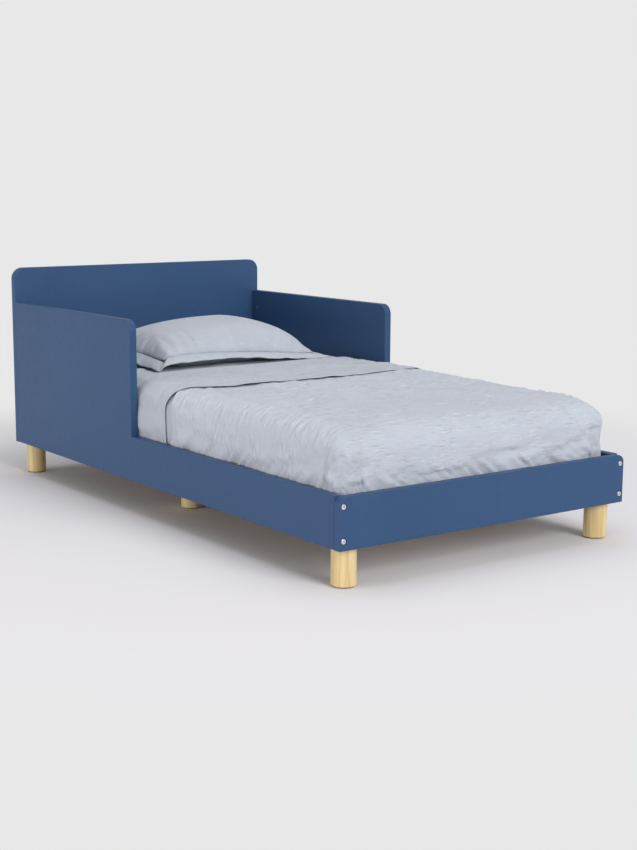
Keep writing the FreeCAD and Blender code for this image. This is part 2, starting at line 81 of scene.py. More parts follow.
class ShaderGraph:
    """One material's node tree, with short calls for the nodes that the finishes use."""

    def __init__(self, name: str, space: PatternSpace) -> None:
        """Makes the material.

        Args:
            name: The material's name.
            space: The coordinates that its pattern follows.
        """
        self.material = bpy.data.materials.new(name)
        self.material.use_nodes = True
        self.tree = self.material.node_tree
        self.shader = self.tree.nodes["Principled BSDF"]
        self.place = self.tree.nodes.new("ShaderNodeTexCoord").outputs[space.value]

    def add(self, kind: str, inputs: Mapping[str | int, object]) -> bpy.types.Node:
        """Adds a node and fills or links its inputs.

        Args:
            kind: The node's type.
            inputs: Values or output sockets by input name or index.

        Returns:
            The new node.
        """
        node = self.tree.nodes.new(kind)
        for key, value in inputs.items():
            self.feed(node.inputs[key], value)
        return node

    def feed(self, target: bpy.types.NodeSocket, value: object) -> None:
        """Links a socket or sets a value.

        Args:
            target: The input socket.
            value: An output socket, or a plain value.
        """
        if isinstance(value, bpy.types.NodeSocket):
            self.tree.links.new(value, target)
        else:
            target.default_value = value

    def stretched(self, scale: Sequence[float]) -> bpy.types.NodeSocket:
        """The pattern's coordinates, scaled by axis."""
        node = self.add("ShaderNodeMapping", {"Vector": self.place, "Scale": tuple(scale)})
        return node.outputs["Vector"]

    def noise(
        self,
        scale: float,
        detail: float = 2.0,
        place: bpy.types.NodeSocket | None = None,
        bend: float = 0.0,
    ) -> bpy.types.NodeSocket:
        """Adds a noise pattern.

        Args:
            scale: Swells per metre.
            detail: Finer octaves.
            place: Other coordinates than the plain ones.
            bend: Distortion.

        Returns:
            The noise value, about 0.2 to 0.8.
        """
        inputs = {"Vector": place or self.place, "Scale": scale, "Detail": detail, "Distortion": bend}
        return self.add("ShaderNodeTexNoise", inputs).outputs["Fac"]

    def remap(
        self, value: bpy.types.NodeSocket, low: float, high: float, to_low: float, to_high: float
    ) -> bpy.types.NodeSocket:
        """Maps a value from one range to another, clamped.

        Args:
            value: The value.
            low: Start of its range.
            high: End of its range.
            to_low: Result at the start.
            to_high: Result at the end.

        Returns:
            The mapped value.
        """
        node = self.add("ShaderNodeMapRange", {0: value, 1: low, 2: high, 3: to_low, 4: to_high})
        return node.outputs[0]

    def mix(self, share: bpy.types.NodeSocket, first: object, second: object) -> bpy.types.NodeSocket:
        """Mixes two colours.

        Args:
            share: How much of the second colour shows.
            first: A colour or a colour socket.
            second: A colour or a colour socket.

        Returns:
            The mixed colour.
        """
        node = self.tree.nodes.new("ShaderNodeMix")
        node.data_type = "RGBA"
        self.feed(node.inputs[0], share)
        self.feed(node.inputs[6], first)
        self.feed(node.inputs[7], second)
        return node.outputs[2]

    def mottled(
        self,
        value: bpy.types.NodeSocket,
        span: tuple[float, float],
        colour: Colour,
        factors: tuple[float, float],
    ) -> bpy.types.NodeSocket:
        """Varies a colour's brightness with a value.

        Args:
            value: The value.
            span: Where it starts and ends.
            colour: The middle colour.
            factors: Brightness at the start and at the end.

        Returns:
            The varied colour.
        """
        share = self.remap(value, *span, 0.0, 1.0)
        return self.mix(share, shade(colour, factors[0]), shade(colour, factors[1]))

    def total(
        self, first: bpy.types.NodeSocket, second: bpy.types.NodeSocket, share: float
    ) -> bpy.types.NodeSocket:
        """Adds a share of the second value to the first."""
        node = self.tree.nodes.new("ShaderNodeMath")
        node.operation = "MULTIPLY_ADD"
        self.feed(node.inputs[0], second)
        self.feed(node.inputs[1], share)
        self.feed(node.inputs[2], first)
        return node.outputs[0]

    def relief(self, height: bpy.types.NodeSocket, depth: float, strength: float = 1.0) -> None:
        """Sets the shader's bump.

        Args:
            height: The height pattern from 0 to 1.
            depth: Its full depth in metres.
            strength: How much of it shows.
        """
        node = self.add("ShaderNodeBump", {"Height": height, "Distance": depth, "Strength": strength})
        self.tree.links.new(node.outputs["Normal"], self.shader.inputs["Normal"])

    def finish(self, **values: object) -> bpy.types.Material:
        """Feeds the shader's own inputs, with underscores for spaces, and returns the material."""
        for name, value in values.items():
            self.feed(self.shader.inputs[name.replace("_", " ")], value)
        return self.material


def grey(level: float) -> Colour:
    """A grey of a given brightness."""
    return (level, level, level, 1.0)


def shade(colour: Colour, factor: float) -> Colour:
    """A colour made lighter or darker by a factor."""
    return (colour[0] * factor, colour[1] * factor, colour[2] * factor, 1.0)


# Finishes


@dataclass(frozen=True)
class SatinPaint:
    """Sprayed satin paint on board, with its fine orange peel and slight unevenness."""

    name: str
    colour: Colour
    roughness: float = 0.42
    peel_pitch: float = 0.0022
    peel_depth: float = 0.00003

    def build(self) -> bpy.types.Material:
        """Makes the material."""
        graph = ShaderGraph(self.name, PatternSpace.BOARD)
        cloud = graph.noise(3.2, 3.0)
        mottle = graph.noise(55.0, 3.0)
        tone = graph.total(cloud, mottle, 0.35)
        colour = graph.mottled(tone, (0.45, 0.9), self.colour, (0.93, 1.07))
        gloss = graph.remap(mottle, *NOISE_SPAN, self.roughness - 0.04, self.roughness + 0.05)
        peel = graph.total(graph.noise(1.0 / self.peel_pitch, 1.0), graph.noise(28.0, 2.0), 0.6)
        graph.relief(peel, self.peel_depth)
        return graph.finish(Base_Color=colour, Roughness=gloss, Specular_IOR_Level=0.22)


@dataclass(frozen=True)
class GrainedWood:
    """Clear-coated or bare wood with streaks and growth rings along one axis."""

    name: str
    light: Colour
    dark: Colour
    axis: Axis
    roughness: float = 0.5
    ring_pitch: float = 0.011
    streak_pitch: float = 0.0022

    def build(self) -> bpy.types.Material:
        """Makes the material."""
        graph = ShaderGraph(self.name, PatternSpace.BOARD)
        along = graph.stretched(self.axis.value)
        sway = graph.noise(9.0, 2.0, along)
        streaks = graph.noise(1.0 / self.streak_pitch, 3.0, along)
        rings = graph.noise(0.45 / self.ring_pitch, 2.0, along, 1.4)
        lines = graph.remap(rings, 0.42, 0.62, 0.0, 1.0)
        tone = graph.total(graph.total(lines, streaks, 0.9), sway, 0.5)
        colour = graph.mix(graph.remap(tone, 0.5, 1.7, 0.0, 1.0), self.light, self.dark)
        gloss = graph.remap(streaks, *NOISE_SPAN, self.roughness - 0.05, self.roughness + 0.08)
        graph.relief(graph.total(streaks, lines, 0.4), 0.00012)
        return graph.finish(Base_Color=colour, Roughness=gloss, Specular_IOR_Level=0.35)


@dataclass(frozen=True)
class PlatedSteel:
    """Zinc-plated steel with fine turning marks and a cloudy sheen."""

    name: str
    colour: Colour
    roughness: float = 0.3

    def build(self) -> bpy.types.Material:
        """Makes the material."""
        graph = ShaderGraph(self.name, PatternSpace.BOARD)
        cloud = graph.noise(160.0, 3.0)
        marks = graph.noise(2600.0, 2.0)
        colour = graph.mottled(cloud, NOISE_SPAN, self.colour, (0.85, 1.08))
        gloss = graph.remap(marks, *NOISE_SPAN, self.roughness - 0.08, self.roughness + 0.12)
        graph.relief(marks, 0.00001)
        return graph.finish(Base_Color=colour, Roughness=gloss, Metallic=1.0)


@dataclass(frozen=True)
class MouldedPlastic:
    """Dark moulded plastic with a fine spark-eroded grain."""

    name: str
    colour: Colour
    roughness: float = 0.55

    def build(self) -> bpy.types.Material:
        """Makes the material."""
        graph = ShaderGraph(self.name, PatternSpace.BOARD)
        grain = graph.noise(1900.0, 2.0)
        wear = graph.noise(120.0, 2.0)
        colour = graph.mottled(wear, (0.35, 0.65), self.colour, (0.85, 1.2))
        gloss = graph.remap(wear, *NOISE_SPAN, self.roughness - 0.08, self.roughness + 0.08)
        graph.relief(grain, 0.00004)
        return graph.finish(Base_Color=colour, Roughness=gloss)


@dataclass(frozen=True)
class WovenCotton:
    """Washed woven cotton: threads, slubs across the bed, short crinkles with painted shade and highlight
    dashes, and a soft sheen.
    """

    name: str
    colour: Colour
    thread_pitch: float = 0.0009
    thread_depth: float = 0.00012
    slub: float = 0.5
    crinkle: float = 0.5
    crinkle_length: float = 0.023
    crinkle_width: float = 0.0040
    space: PatternSpace = PatternSpace.CLOTH

    def build(self) -> bpy.types.Material:
        """Makes the material."""
        graph = ShaderGraph(self.name, self.space)
        cloud = graph.noise(7.0, 3.0)
        slubs = graph.noise(1.0, 3.0, graph.stretched((22.0, 420.0, 1.0)))
        patches = graph.noise(13.0, 2.0)
        dashes = graph.noise(
            1.0, 1.0, graph.stretched((1.0 / self.crinkle_length, 1.0 / self.crinkle_width, 1.0)), 0.3
        )
        # Painted shade and highlight: dark and pale crinkle dashes that darken and lighten the colour as
        # well as bumping the surface.
        painted_shade_dashes = graph.remap(dashes, 0.61, 0.69, 0.0, 1.0)
        painted_highlight_dashes = graph.remap(dashes, 0.31, 0.39, 1.0, 0.0)
        mask = graph.remap(patches, 0.34, 0.56, 0.0, self.crinkle)
        product = graph.add("ShaderNodeMath", {0: graph.total(painted_shade_dashes, painted_highlight_dashes, -1.0), 1: mask})
        product.operation = "MULTIPLY"
        crinkles = product.outputs[0]
        warp = self.threads(graph, "X")
        weft = self.threads(graph, "Y")
        weave = graph.total(warp, weft, 1.0)
        # The tone adds the crinkles' painted shade and highlight to the random cloud and slubs.
        tone = graph.total(graph.total(cloud, slubs, self.slub), crinkles, 1.0)
        colour = graph.mottled(tone, (-0.4, 1.9), self.colour, (1.20, 0.78))
        height = graph.total(graph.total(weave, crinkles, 3.0), slubs, 1.2 * self.slub)
        graph.relief(height, self.thread_depth)
        return graph.finish(
            Base_Color=colour,
            Roughness=graph.remap(slubs, *NOISE_SPAN, 0.8, 0.92),
            Specular_IOR_Level=0.2,
            Sheen_Weight=0.25,
            Sheen_Roughness=0.5,
            Sheen_Tint=(0.9, 0.93, 1.0, 1.0),
        )

    def threads(self, graph: ShaderGraph, direction: str) -> bpy.types.NodeSocket:
        """Parallel threads across one direction of the cloth.

        Args:
            graph: The material's graph.
            direction: X or Y of the cloth's flat pattern.

        Returns:
            The threads' height from 0 to 1.
        """
        scale = math.tau / (20.0 * self.thread_pitch)
        node = graph.add("ShaderNodeTexWave", {"Vector": graph.place, "Scale": scale, "Distortion": 0.6})
        node.wave_type = "BANDS"
        node.bands_direction = direction
        return node.outputs["Fac"]


@dataclass(frozen=True)
class Finishes:
    """All the finishes of the bed, built once."""

    blue_board: bpy.types.Material
    leg_wood: bpy.types.Material
    pine_across: bpy.types.Material
    pine_along: bpy.types.Material
    pine_upright: bpy.types.Material
    dowel_beech: bpy.types.Material
    zinc_steel: bpy.types.Material
    glide_plastic: bpy.types.Material
    ticking: bpy.types.Material
    piping: bpy.types.Material
    sheet_cotton: bpy.types.Material
    top_sheet_cotton: bpy.types.Material
    coverlet_cotton: bpy.types.Material
    sham_cotton: bpy.types.Material
    thread: bpy.types.Material

    @classmethod
    def make(cls) -> "Finishes":
        """Builds every material."""
        cotton = (0.50, 0.535, 0.60, 1.0)
        pine = {"light": (0.70, 0.53, 0.32, 1.0), "dark": (0.50, 0.33, 0.16, 1.0), "roughness": 0.62}
        leg = {"light": (0.74, 0.59, 0.31, 1.0), "dark": (0.60, 0.44, 0.21, 1.0)}
        beech = {"light": (0.66, 0.48, 0.30, 1.0), "dark": (0.52, 0.35, 0.20, 1.0), "roughness": 0.6}
        plain = {"slub": 0.2, "crinkle": 0.0, "space": PatternSpace.BOARD}
        recipes = {
            "blue_board": SatinPaint("blue_board", (0.031, 0.076, 0.172, 1.0)),
            "leg_wood": GrainedWood("leg_wood", axis=Axis.Z, **leg),
            "pine_across": GrainedWood("pine_across", axis=Axis.X, **pine),
            "pine_along": GrainedWood("pine_along", axis=Axis.Y, **pine),
            "pine_upright": GrainedWood("pine_upright", axis=Axis.Z, **pine),
            "dowel_beech": GrainedWood("dowel_beech", axis=Axis.Y, **beech),
            "zinc_steel": PlatedSteel("zinc_steel", (0.72, 0.74, 0.76, 1.0)),
            "glide_plastic": MouldedPlastic("glide_plastic", (0.16, 0.10, 0.05, 1.0)),
            "ticking": WovenCotton("mattress_ticking", (0.78, 0.78, 0.76, 1.0), slub=0.3, crinkle=0.0),
            "piping": WovenCotton("mattress_piping", (0.62, 0.64, 0.68, 1.0), **plain),
            "sheet_cotton": WovenCotton("sheet_cotton", shade(cotton, 0.93), slub=0.9, crinkle=0.25),
            "top_sheet_cotton": WovenCotton("top_sheet_cotton", shade(cotton, 0.94), slub=0.9, crinkle=0.3),
            "coverlet_cotton": WovenCotton("coverlet_cotton", cotton, slub=0.5, crinkle=1.0),
            "sham_cotton": WovenCotton("sham_cotton", shade(cotton, 0.92), slub=0.4, crinkle=0.6),
            "thread": WovenCotton("sewing_thread", shade(cotton, 0.8), **plain),
        }
        return cls(**{name: recipe.build() for name, recipe in recipes.items()})


# Cloth as a grid of points


def eased(share: np.ndarray) -> np.ndarray:
    """A share from 0 to 1 with a slow start and end."""
    return share * share * (3.0 - 2.0 * share)


def swells(across: np.ndarray, along: np.ndarray, seed: int) -> np.ndarray:
    """Smooth seeded noise from -1 to 1, with one swell in each unit of its coordinates."""
    lattice = np.random.default_rng(seed).uniform(-1.0, 1.0, (SWELL_CELLS, SWELL_CELLS))
    cell_x, cell_y = np.floor(across).astype(int), np.floor(along).astype(int)
    part_x, part_y = eased(across - cell_x), eased(along - cell_y)
    left, right = cell_x % SWELL_CELLS, (cell_x + 1) % SWELL_CELLS
    front, back = cell_y % SWELL_CELLS, (cell_y + 1) % SWELL_CELLS
    near = lattice[left, front] * (1 - part_x) + lattice[right, front] * part_x
    far = lattice[left, back] * (1 - part_x) + lattice[right, back] * part_x
    return near * (1 - part_y) + far * part_y


@dataclass(frozen=True)
class Band:
    """A stretch over which something comes on: none before its start, all past its end."""

    start: float
    end: float

    def share(self, value: np.ndarray) -> np.ndarray:
        """How much there is at a value, from 0 to 1."""
        return eased(np.clip((value - self.start) / (self.end - self.start), 0.0, 1.0))


@dataclass(frozen=True)
class Ripple:
    """Smooth seeded waves in a cloth.

    Attributes:
        height: Their height.
        first: Swells to a metre in the first direction.
        second: Swells to a metre in the second direction.
        layer: What is added to the piece's seed.
        lean: Swells by which the rows shift for each metre in the first direction.
        start: Where in the noise they start.
        middle: The level that they swing about, as a share of the height.
    """

    height: float
    first: float
    second: float = 0.0
    layer: int = 0
    lean: float = 0.0
    start: tuple[float, float] = (0.0, 0.0)
    middle: float = 0.0

    def lift(self, first: np.ndarray, second: np.ndarray, seed: int) -> np.ndarray:
        """Height of the waves.

        Args:
            first: Places in the first direction.
            second: Places in the second direction.
            seed: The piece's own seed, to which the layer is added.

        Returns:
            The height at each place.
        """
        column = first * self.first + self.start[0]
        row = second * self.second + first * self.lean + self.start[1]
        return self.height * (self.middle + swells(column, row, seed + self.layer))


@dataclass(frozen=True)
class Crease:
    """A straight crease in a cloth.

    Attributes:
        place: Where it lies.
        width: Half its width.
        height: Its height, or its depth where it is below zero.
        slant: How far its place moves for each unit along it.
    """

    place: float
    width: float
    height: float
    slant: float = 0.0

    def lift(self, value: np.ndarray, other: np.ndarray | float = 0.0) -> np.ndarray:
        """Height of the crease.

        Args:
            value: Places across it.
            other: Places along it.

        Returns:
            The height at each place.
        """
        return self.height * np.exp(-(((value - self.place - self.slant * other) / self.width) ** 2))


def refine_axis(values: np.ndarray, count: int, axis: int) -> np.ndarray:
    """Resamples a grid along one axis on smooth cubics through its points."""
    steps = np.linspace(0.0, values.shape[axis] - 1.0, count)
    whole = np.clip(np.floor(steps).astype(int), 0, values.shape[axis] - 2)
    moved = np.moveaxis(values, axis, 0)
    part = (steps - whole).reshape(-1, *([1] * (moved.ndim - 1)))
    padded = np.concatenate([2 * moved[:1] - moved[1:2], moved, 2 * moved[-1:] - moved[-2:-1]])
    before, start, end, after = (padded[whole + shift] for shift in range(4))
    curve = (
        2 * start
        + (end - before) * part
        + (2 * before - 5 * start + 4 * end - after) * part**2
        + (3 * start - before - 3 * end + after) * part**3
    )
    return np.moveaxis(curve / 2, 0, axis)


def mesh_object(
    name: str,
    points: np.ndarray,
    faces: Sequence[Sequence[int]],
    flat: np.ndarray,
    material: bpy.types.Material | None,
) -> bpy.types.Object:
    """Makes a smooth mesh object in the scene.

    Args:
        name: The object's name.
        points: One row of three coordinates for each vertex.
        faces: Vertex numbers of each face.
        flat: Each vertex's place on the flat cloth, which becomes its UV.
        material: The finish.

    Returns:
        The object.
    """
    mesh = bpy.data.meshes.new(name)
    mesh.from_pydata(points.tolist(), [], faces)
    corners = np.empty(len(mesh.loops), dtype=np.int32)
    mesh.loops.foreach_get("vertex_index", corners)
    layer = mesh.uv_layers.new(name="flat_cloth")
    layer.data.foreach_set("uv", flat[corners].astype(np.float32).ravel())
    mesh.polygons.foreach_set("use_smooth", [True] * len(mesh.polygons))
    mesh.materials.append(material)
    mesh.update()
    made = bpy.data.objects.new(name, mesh)
    bpy.context.scene.collection.objects.link(made)
    return made


def grid_faces(rows: int, columns: int) -> list[tuple[int, int, int, int]]:
    """Four-sided faces of a grid, facing up where columns run along X and rows along Y."""
    return [
        (start, start + 1, start + columns + 1, start + columns)
        for row in range(rows - 1)
        for start in range(row * columns, (row + 1) * columns - 1)
    ]


@dataclass
class ClothGrid:
    """A cloth as rows and columns of points, each with its place on the flat cut."""

    points: np.ndarray
    flat: np.ndarray

    def normals(self) -> np.ndarray:
        """The outward direction at each point."""
        across = np.gradient(self.points, axis=1)
        along = np.gradient(self.points, axis=0)
        normal = np.cross(across, along)
        return normal / np.maximum(np.linalg.norm(normal, axis=2, keepdims=True), 1e-12)

    def raised(self, height: np.ndarray) -> "ClothGrid":
        """The cloth with each point moved outwards by a height."""
        return ClothGrid(self.points + self.normals() * height[..., None], self.flat)

    def refined(self, rows: int, columns: int) -> "ClothGrid":
        """The cloth on a finer grid."""
        points = refine_axis(refine_axis(self.points, rows, 0), columns, 1)
        flat = refine_axis(refine_axis(self.flat, rows, 0), columns, 1)
        return ClothGrid(points, flat)

    def make(self, name: str, material: bpy.types.Material) -> bpy.types.Object:
        """The cloth as a mesh object of one layer."""
        rows, columns = self.points.shape[:2]
        return mesh_object(
            name, self.points.reshape(-1, 3), grid_faces(rows, columns), self.flat.reshape(-1, 2), material
        )


@dataclass(frozen=True)
class TrayForm:
    """The shape of a cloth over a soft block: top, rounded shoulders, skirt and turned-under edge."""

    half_width: float
    half_length: float
    top: float
    hem: float
    shoulder: float = 0.050
    shoulder_drop: float = 0.044
    turn_under: float = 0.0
    turn_radius: float = 0.016
    squareness: float = 4.6

    def skirt(self) -> tuple[np.ndarray, np.ndarray, np.ndarray]:
        """The skirt's profile: run along the cloth, reach outwards and height."""
        turn = np.linspace(0.0, math.pi / 2, 25)
        reach = self.shoulder * np.sin(turn)
        height = self.top - self.shoulder_drop * (1 - np.cos(turn))
        if self.turn_under > 0:
            turn = np.linspace(0.0, math.pi / 2, 13)
            end = self.shoulder - self.turn_radius - self.turn_under
            reach = np.concatenate([reach, self.shoulder - self.turn_radius * (1 - np.cos(turn)), [end]])
            height = np.concatenate([height, self.hem + self.turn_radius * (1 - np.sin(turn)), [self.hem]])
        else:
            reach = np.append(reach, self.shoulder)
            height = np.append(height, self.hem)
        run = np.concatenate([[0.0], np.cumsum(np.hypot(np.diff(reach), np.diff(height)))])
        return run, reach, height

    def drop(self) -> float:
        """Length of cloth from the shoulder's start to the edge."""
        return float(self.skirt()[0][-1])

    def half_cut(self) -> tuple[float, float]:
        """Half the flat cut's width and length."""
        return self.half_width - self.shoulder + self.drop(), self.half_length - self.shoulder + self.drop()

    def place(self, across: np.ndarray, along: np.ndarray) -> np.ndarray:
        """Where points of the flat cut lie on the block.

        Args:
            across: Their places across the bed on the flat cut.
            along: Their places along the bed on the flat cut.

        Returns:
            Their points, with the bedding's sink.
        """
        run, reach_by_run, height_by_run = self.skirt()
        inner_x, inner_y = self.half_width - self.shoulder, self.half_length - self.shoulder
        past_x = np.maximum(np.abs(across) - inner_x, 0.0)
        past_y = np.maximum(np.abs(along) - inner_y, 0.0)
        past = np.maximum(past_x, past_y)
        ratio = np.minimum(past_x, past_y) / np.maximum(past, 1e-9)
        turn = np.where(past_x >= past_y, ratio, 2.0 - ratio) * math.pi / 4
        bluntness = (np.abs(np.cos(turn)) ** self.squareness + np.abs(np.sin(turn)) ** self.squareness) ** (
            -1 / self.squareness
        )
        reach = np.where(past > 0, np.interp(past, run, reach_by_run) * bluntness, 0.0)
        height = np.interp(past, run, height_by_run)
        x = np.sign(across) * (np.minimum(np.abs(across), inner_x) + reach * np.cos(turn))
        y = np.sign(along) * (np.minimum(np.abs(along), inner_y) + reach * np.sin(turn))
        share = np.clip((height - self.hem) / (self.top - self.hem), 0.0, 1.0)
        return np.stack([x, y, height - bedding_sink(x, y) * share], axis=-1)

    def cloth(self, columns: int, rows: int, head: np.ndarray | float, foot: float) -> ClothGrid:
        """Lays a cut of cloth on the block.

        Args:
            columns: Points across.
            rows: Points along.
            head: Where the head edge lies on the flat cut, for each column or for all.
            foot: Where the foot edge lies on the flat cut.

        Returns:
            The cloth.
        """
        half = self.half_cut()[0]
        across = np.broadcast_to(np.linspace(-half, half, columns), (rows, columns))
        share = np.linspace(0.0, 1.0, rows)[:, None]
        along = foot + (np.broadcast_to(head, (columns,))[None, :] - foot) * share
        return ClothGrid(self.place(across, along), np.stack([across, along], axis=-1))


SINKS_ALONG = ((0.003, Band(-0.16, -0.46)), (0.009, Band(-0.56, -0.67)), (0.006, Band(0.54, 0.66)))
SINK_AT_SIDES = 0.003
SINK_HALF_WIDTH = 0.34


def bedding_sink(across: np.ndarray, along: np.ndarray) -> np.ndarray:
    """How far the soft block's top lies below its highest level at a place."""
    ends = sum(depth * band.share(along) for depth, band in SINKS_ALONG)
    return ends + SINK_AT_SIDES * np.abs(across / SINK_HALF_WIDTH) ** 3


def solid_cloth(made: bpy.types.Object, thickness: float) -> bpy.types.Object:
    """Gives a one-layer cloth its thickness, inwards from the visible side."""
    wall = made.modifiers.new("thickness", "SOLIDIFY")
    wall.thickness = thickness
    wall.offset = -1.0
    return applied(made)


def applied(made: bpy.types.Object) -> bpy.types.Object:
    """Turns an object's modifiers into its plain mesh."""
    graph = bpy.context.evaluated_depsgraph_get()
    mesh = bpy.data.meshes.new_from_object(made.evaluated_get(graph))
    mesh.name = made.name
    made.modifiers.clear()
    made.data = mesh
    return made


# Cloth simulation


@dataclass(frozen=True)
class Settling:
    """A short cloth simulation, whose result is taken over point by point up to a cap."""

    frames: int = 16
    growth: float = 0.01
    stiffness: float = 15.0
    bending: float = 0.5
    gravity: float = 1.0
    pressure: float = 0.0
    cap: float = 0.010

    def run(
        self,
        points: np.ndarray,
        faces: Sequence[Sequence[int]],
        held: np.ndarray,
        under: bpy.types.Object | None = None,
    ) -> np.ndarray:
        """Lets a cloth settle.

        Args:
            points: Its starting points.
            faces: Its faces.
            held: How firmly each point is held, from 0 to 1.
            under: What it lies on, if anything.

        Returns:
            The settled points.
        """
        scene = bpy.context.scene
        made = mesh_object("settling", points, faces, np.zeros((len(points), 2)), None)
        group = made.vertex_groups.new(name="held")
        for step in range(11):
            chosen = np.nonzero(np.rint(held * 10) == step)[0]
            if step and len(chosen):
                group.add(chosen.tolist(), step / 10, "REPLACE")
        cloth = made.modifiers.new("cloth", "CLOTH")
        rules = cloth.settings
        rules.quality = 6
        rules.mass = 0.2
        rules.vertex_group_mass = "held"
        rules.tension_stiffness = rules.compression_stiffness = self.stiffness
        rules.shear_stiffness = self.stiffness / 2
        rules.bending_stiffness = self.bending
        rules.shrink_min = rules.shrink_max = -self.growth
        rules.effector_weights.gravity = self.gravity
        rules.use_pressure = self.pressure > 0
        rules.uniform_pressure_force = self.pressure
        cloth.collision_settings.use_collision = under is not None
        cloth.collision_settings.distance_min = 0.001
        if under is not None:
            under.modifiers.new("collision", "COLLISION")
            under.collision.thickness_outer = 0.001
        cloth.point_cache.frame_start, cloth.point_cache.frame_end = 1, self.frames
        for moment in range(1, self.frames + 1):
            scene.frame_set(moment)
        result = made.evaluated_get(bpy.context.evaluated_depsgraph_get())
        settled = np.empty(len(points) * 3)
        result.data.vertices.foreach_get("co", settled)
        bpy.data.objects.remove(made)
        if under is not None:
            bpy.data.objects.remove(under)
        scene.frame_set(1)
        step = settled.reshape(-1, 3) - points
        length = np.linalg.norm(step, axis=1, keepdims=True)
        LOG.info("settled by up to %.1f mm, %.1f mm on average", length.max() * 1000, length.mean() * 1000)
        return points + step * np.minimum(1.0, self.cap / np.maximum(length, 1e-9))


def settle_grid(grid: ClothGrid, how: Settling, held: np.ndarray, under: bpy.types.Object) -> ClothGrid:
    """Lets a cloth grid settle on a form and gives the settled grid."""
    rows, columns = grid.points.shape[:2]
    points = how.run(grid.points.reshape(-1, 3), grid_faces(rows, columns), held.reshape(-1), under)
    return ClothGrid(points.reshape(rows, columns, 3), grid.flat)


# Geometry Nodes for stitches and piping


class NodeTool:
    """A Geometry Nodes group that is run once on a line of points and leaves a plain mesh."""

    def __init__(self, name: str, sizes: Mapping[str, float]) -> None:
        """Starts the group with its inputs.

        Args:
            name: The group's name.
            sizes: The named size inputs and their values.
        """
        self.tree = bpy.data.node_groups.new(name, "GeometryNodeTree")
        self.sizes = dict(sizes)
        face = self.tree.interface
        face.new_socket("Geometry", in_out="INPUT", socket_type="NodeSocketGeometry")
        for key in sizes:
            face.new_socket(key, in_out="INPUT", socket_type="NodeSocketFloat")
        face.new_socket("Material", in_out="INPUT", socket_type="NodeSocketMaterial")
        face.new_socket("Geometry", in_out="OUTPUT", socket_type="NodeSocketGeometry")
        self.start = self.tree.nodes.new("NodeGroupInput")
        self.end = self.tree.nodes.new("NodeGroupOutput")

    def add(self, kind: str, inputs: Mapping[str | int, object], **settings: str) -> bpy.types.Node:
        """Adds a node with its settings, and fills or links its inputs.

        Args:
            kind: The node's type.
            inputs: Values or output sockets by input name or index.
            **settings: The node's own settings.

        Returns:
            The new node.
        """
        node = self.tree.nodes.new(kind)
        for key, value in settings.items():
            setattr(node, key, value)
        for key, value in inputs.items():
            if isinstance(value, bpy.types.NodeSocket):
                self.tree.links.new(value, node.inputs[key])
            else:
                node.inputs[key].default_value = value
        return node

    def evenly(self, sizes: Mapping[str, bpy.types.NodeSocket]) -> bpy.types.Node:
        """The lines as curves, with points a pitch apart."""
        curve = self.add("GeometryNodeMeshToCurve", {0: sizes["Geometry"]})
        spacing = {"Curve": curve.outputs[0], "Length": sizes["Pitch"]}
        return self.add("GeometryNodeResampleCurve", spacing, mode="LENGTH")

    def close(self, geometry: bpy.types.NodeSocket) -> None:
        """Ends the group with real, smooth geometry in its material."""
        real = self.add("GeometryNodeRealizeInstances", {0: geometry})
        smooth = self.add("GeometryNodeSetShadeSmooth", {0: real.outputs[0]})
        inputs = {"Geometry": smooth.outputs[0], "Material": self.start.outputs["Material"]}
        painted = self.add("GeometryNodeSetMaterial", inputs)
        self.tree.links.new(painted.outputs[0], self.end.inputs[0])

    def run(
        self, name: str, lines: Sequence[np.ndarray], closed: bool, material: bpy.types.Material
    ) -> bpy.types.Object:
        """Runs the group on lines of points.

        Args:
            name: The result's name.
            lines: Each line's points.
            closed: Whether each line joins its own start.
            material: The finish.

        Returns:
            The result as a plain mesh object.
        """
        edges, start = [], 0
        for line in lines:
            count = len(line)
            edges += [(start + i, start + (i + 1) % count) for i in range(count if closed else count - 1)]
            start += count
        mesh = bpy.data.meshes.new(name)
        mesh.from_pydata(np.concatenate(lines).tolist(), edges, [])
        made = bpy.data.objects.new(name, mesh)
        bpy.context.scene.collection.objects.link(made)
        step = made.modifiers.new(self.tree.name, "NODES")
        step.node_group = self.tree
        values = {**self.sizes, "Material": material}
        for item in self.tree.interface.items_tree:
            if item.in_out == "INPUT" and item.name in values:
                step[item.identifier] = values[item.name]
        applied(made)
        if not made.data.materials:
            made.data.materials.append(material)
        return made


class StitchTool(NodeTool):
    """Rounded stitches in a row along a line."""

    def __init__(self, name: str, pitch: float, length: float, thread: float) -> None:
        """Builds the group.

        Args:
            name: The group's name.
            pitch: From one stitch to the next.
            length: Length of a stitch.
            thread: Thickness of the thread.
        """
        super().__init__(name, {"Pitch": pitch, "Stitch length": length, "Thread": thread})
        sizes = self.start.outputs
        even = self.evenly(sizes)
        bead = self.add("GeometryNodeMeshUVSphere", {"Segments": 6, "Rings": 4, "Radius": 0.5})
        thread_and_length = {0: sizes["Thread"], 1: sizes["Thread"], 2: sizes["Stitch length"]}
        size = self.add("ShaderNodeCombineXYZ", thread_and_length)
        tangent = self.add("GeometryNodeInputTangent", {})
        turn = self.add("FunctionNodeAlignRotationToVector", {"Vector": tangent.outputs[0]}, axis="Z")
        placed = self.add(
            "GeometryNodeInstanceOnPoints",
            {
                "Points": even.outputs[0],
                "Instance": bead.outputs[0],
                "Rotation": turn.outputs[0],
                "Scale": size.outputs[0],
            },
        )
        self.close(placed.outputs[0])


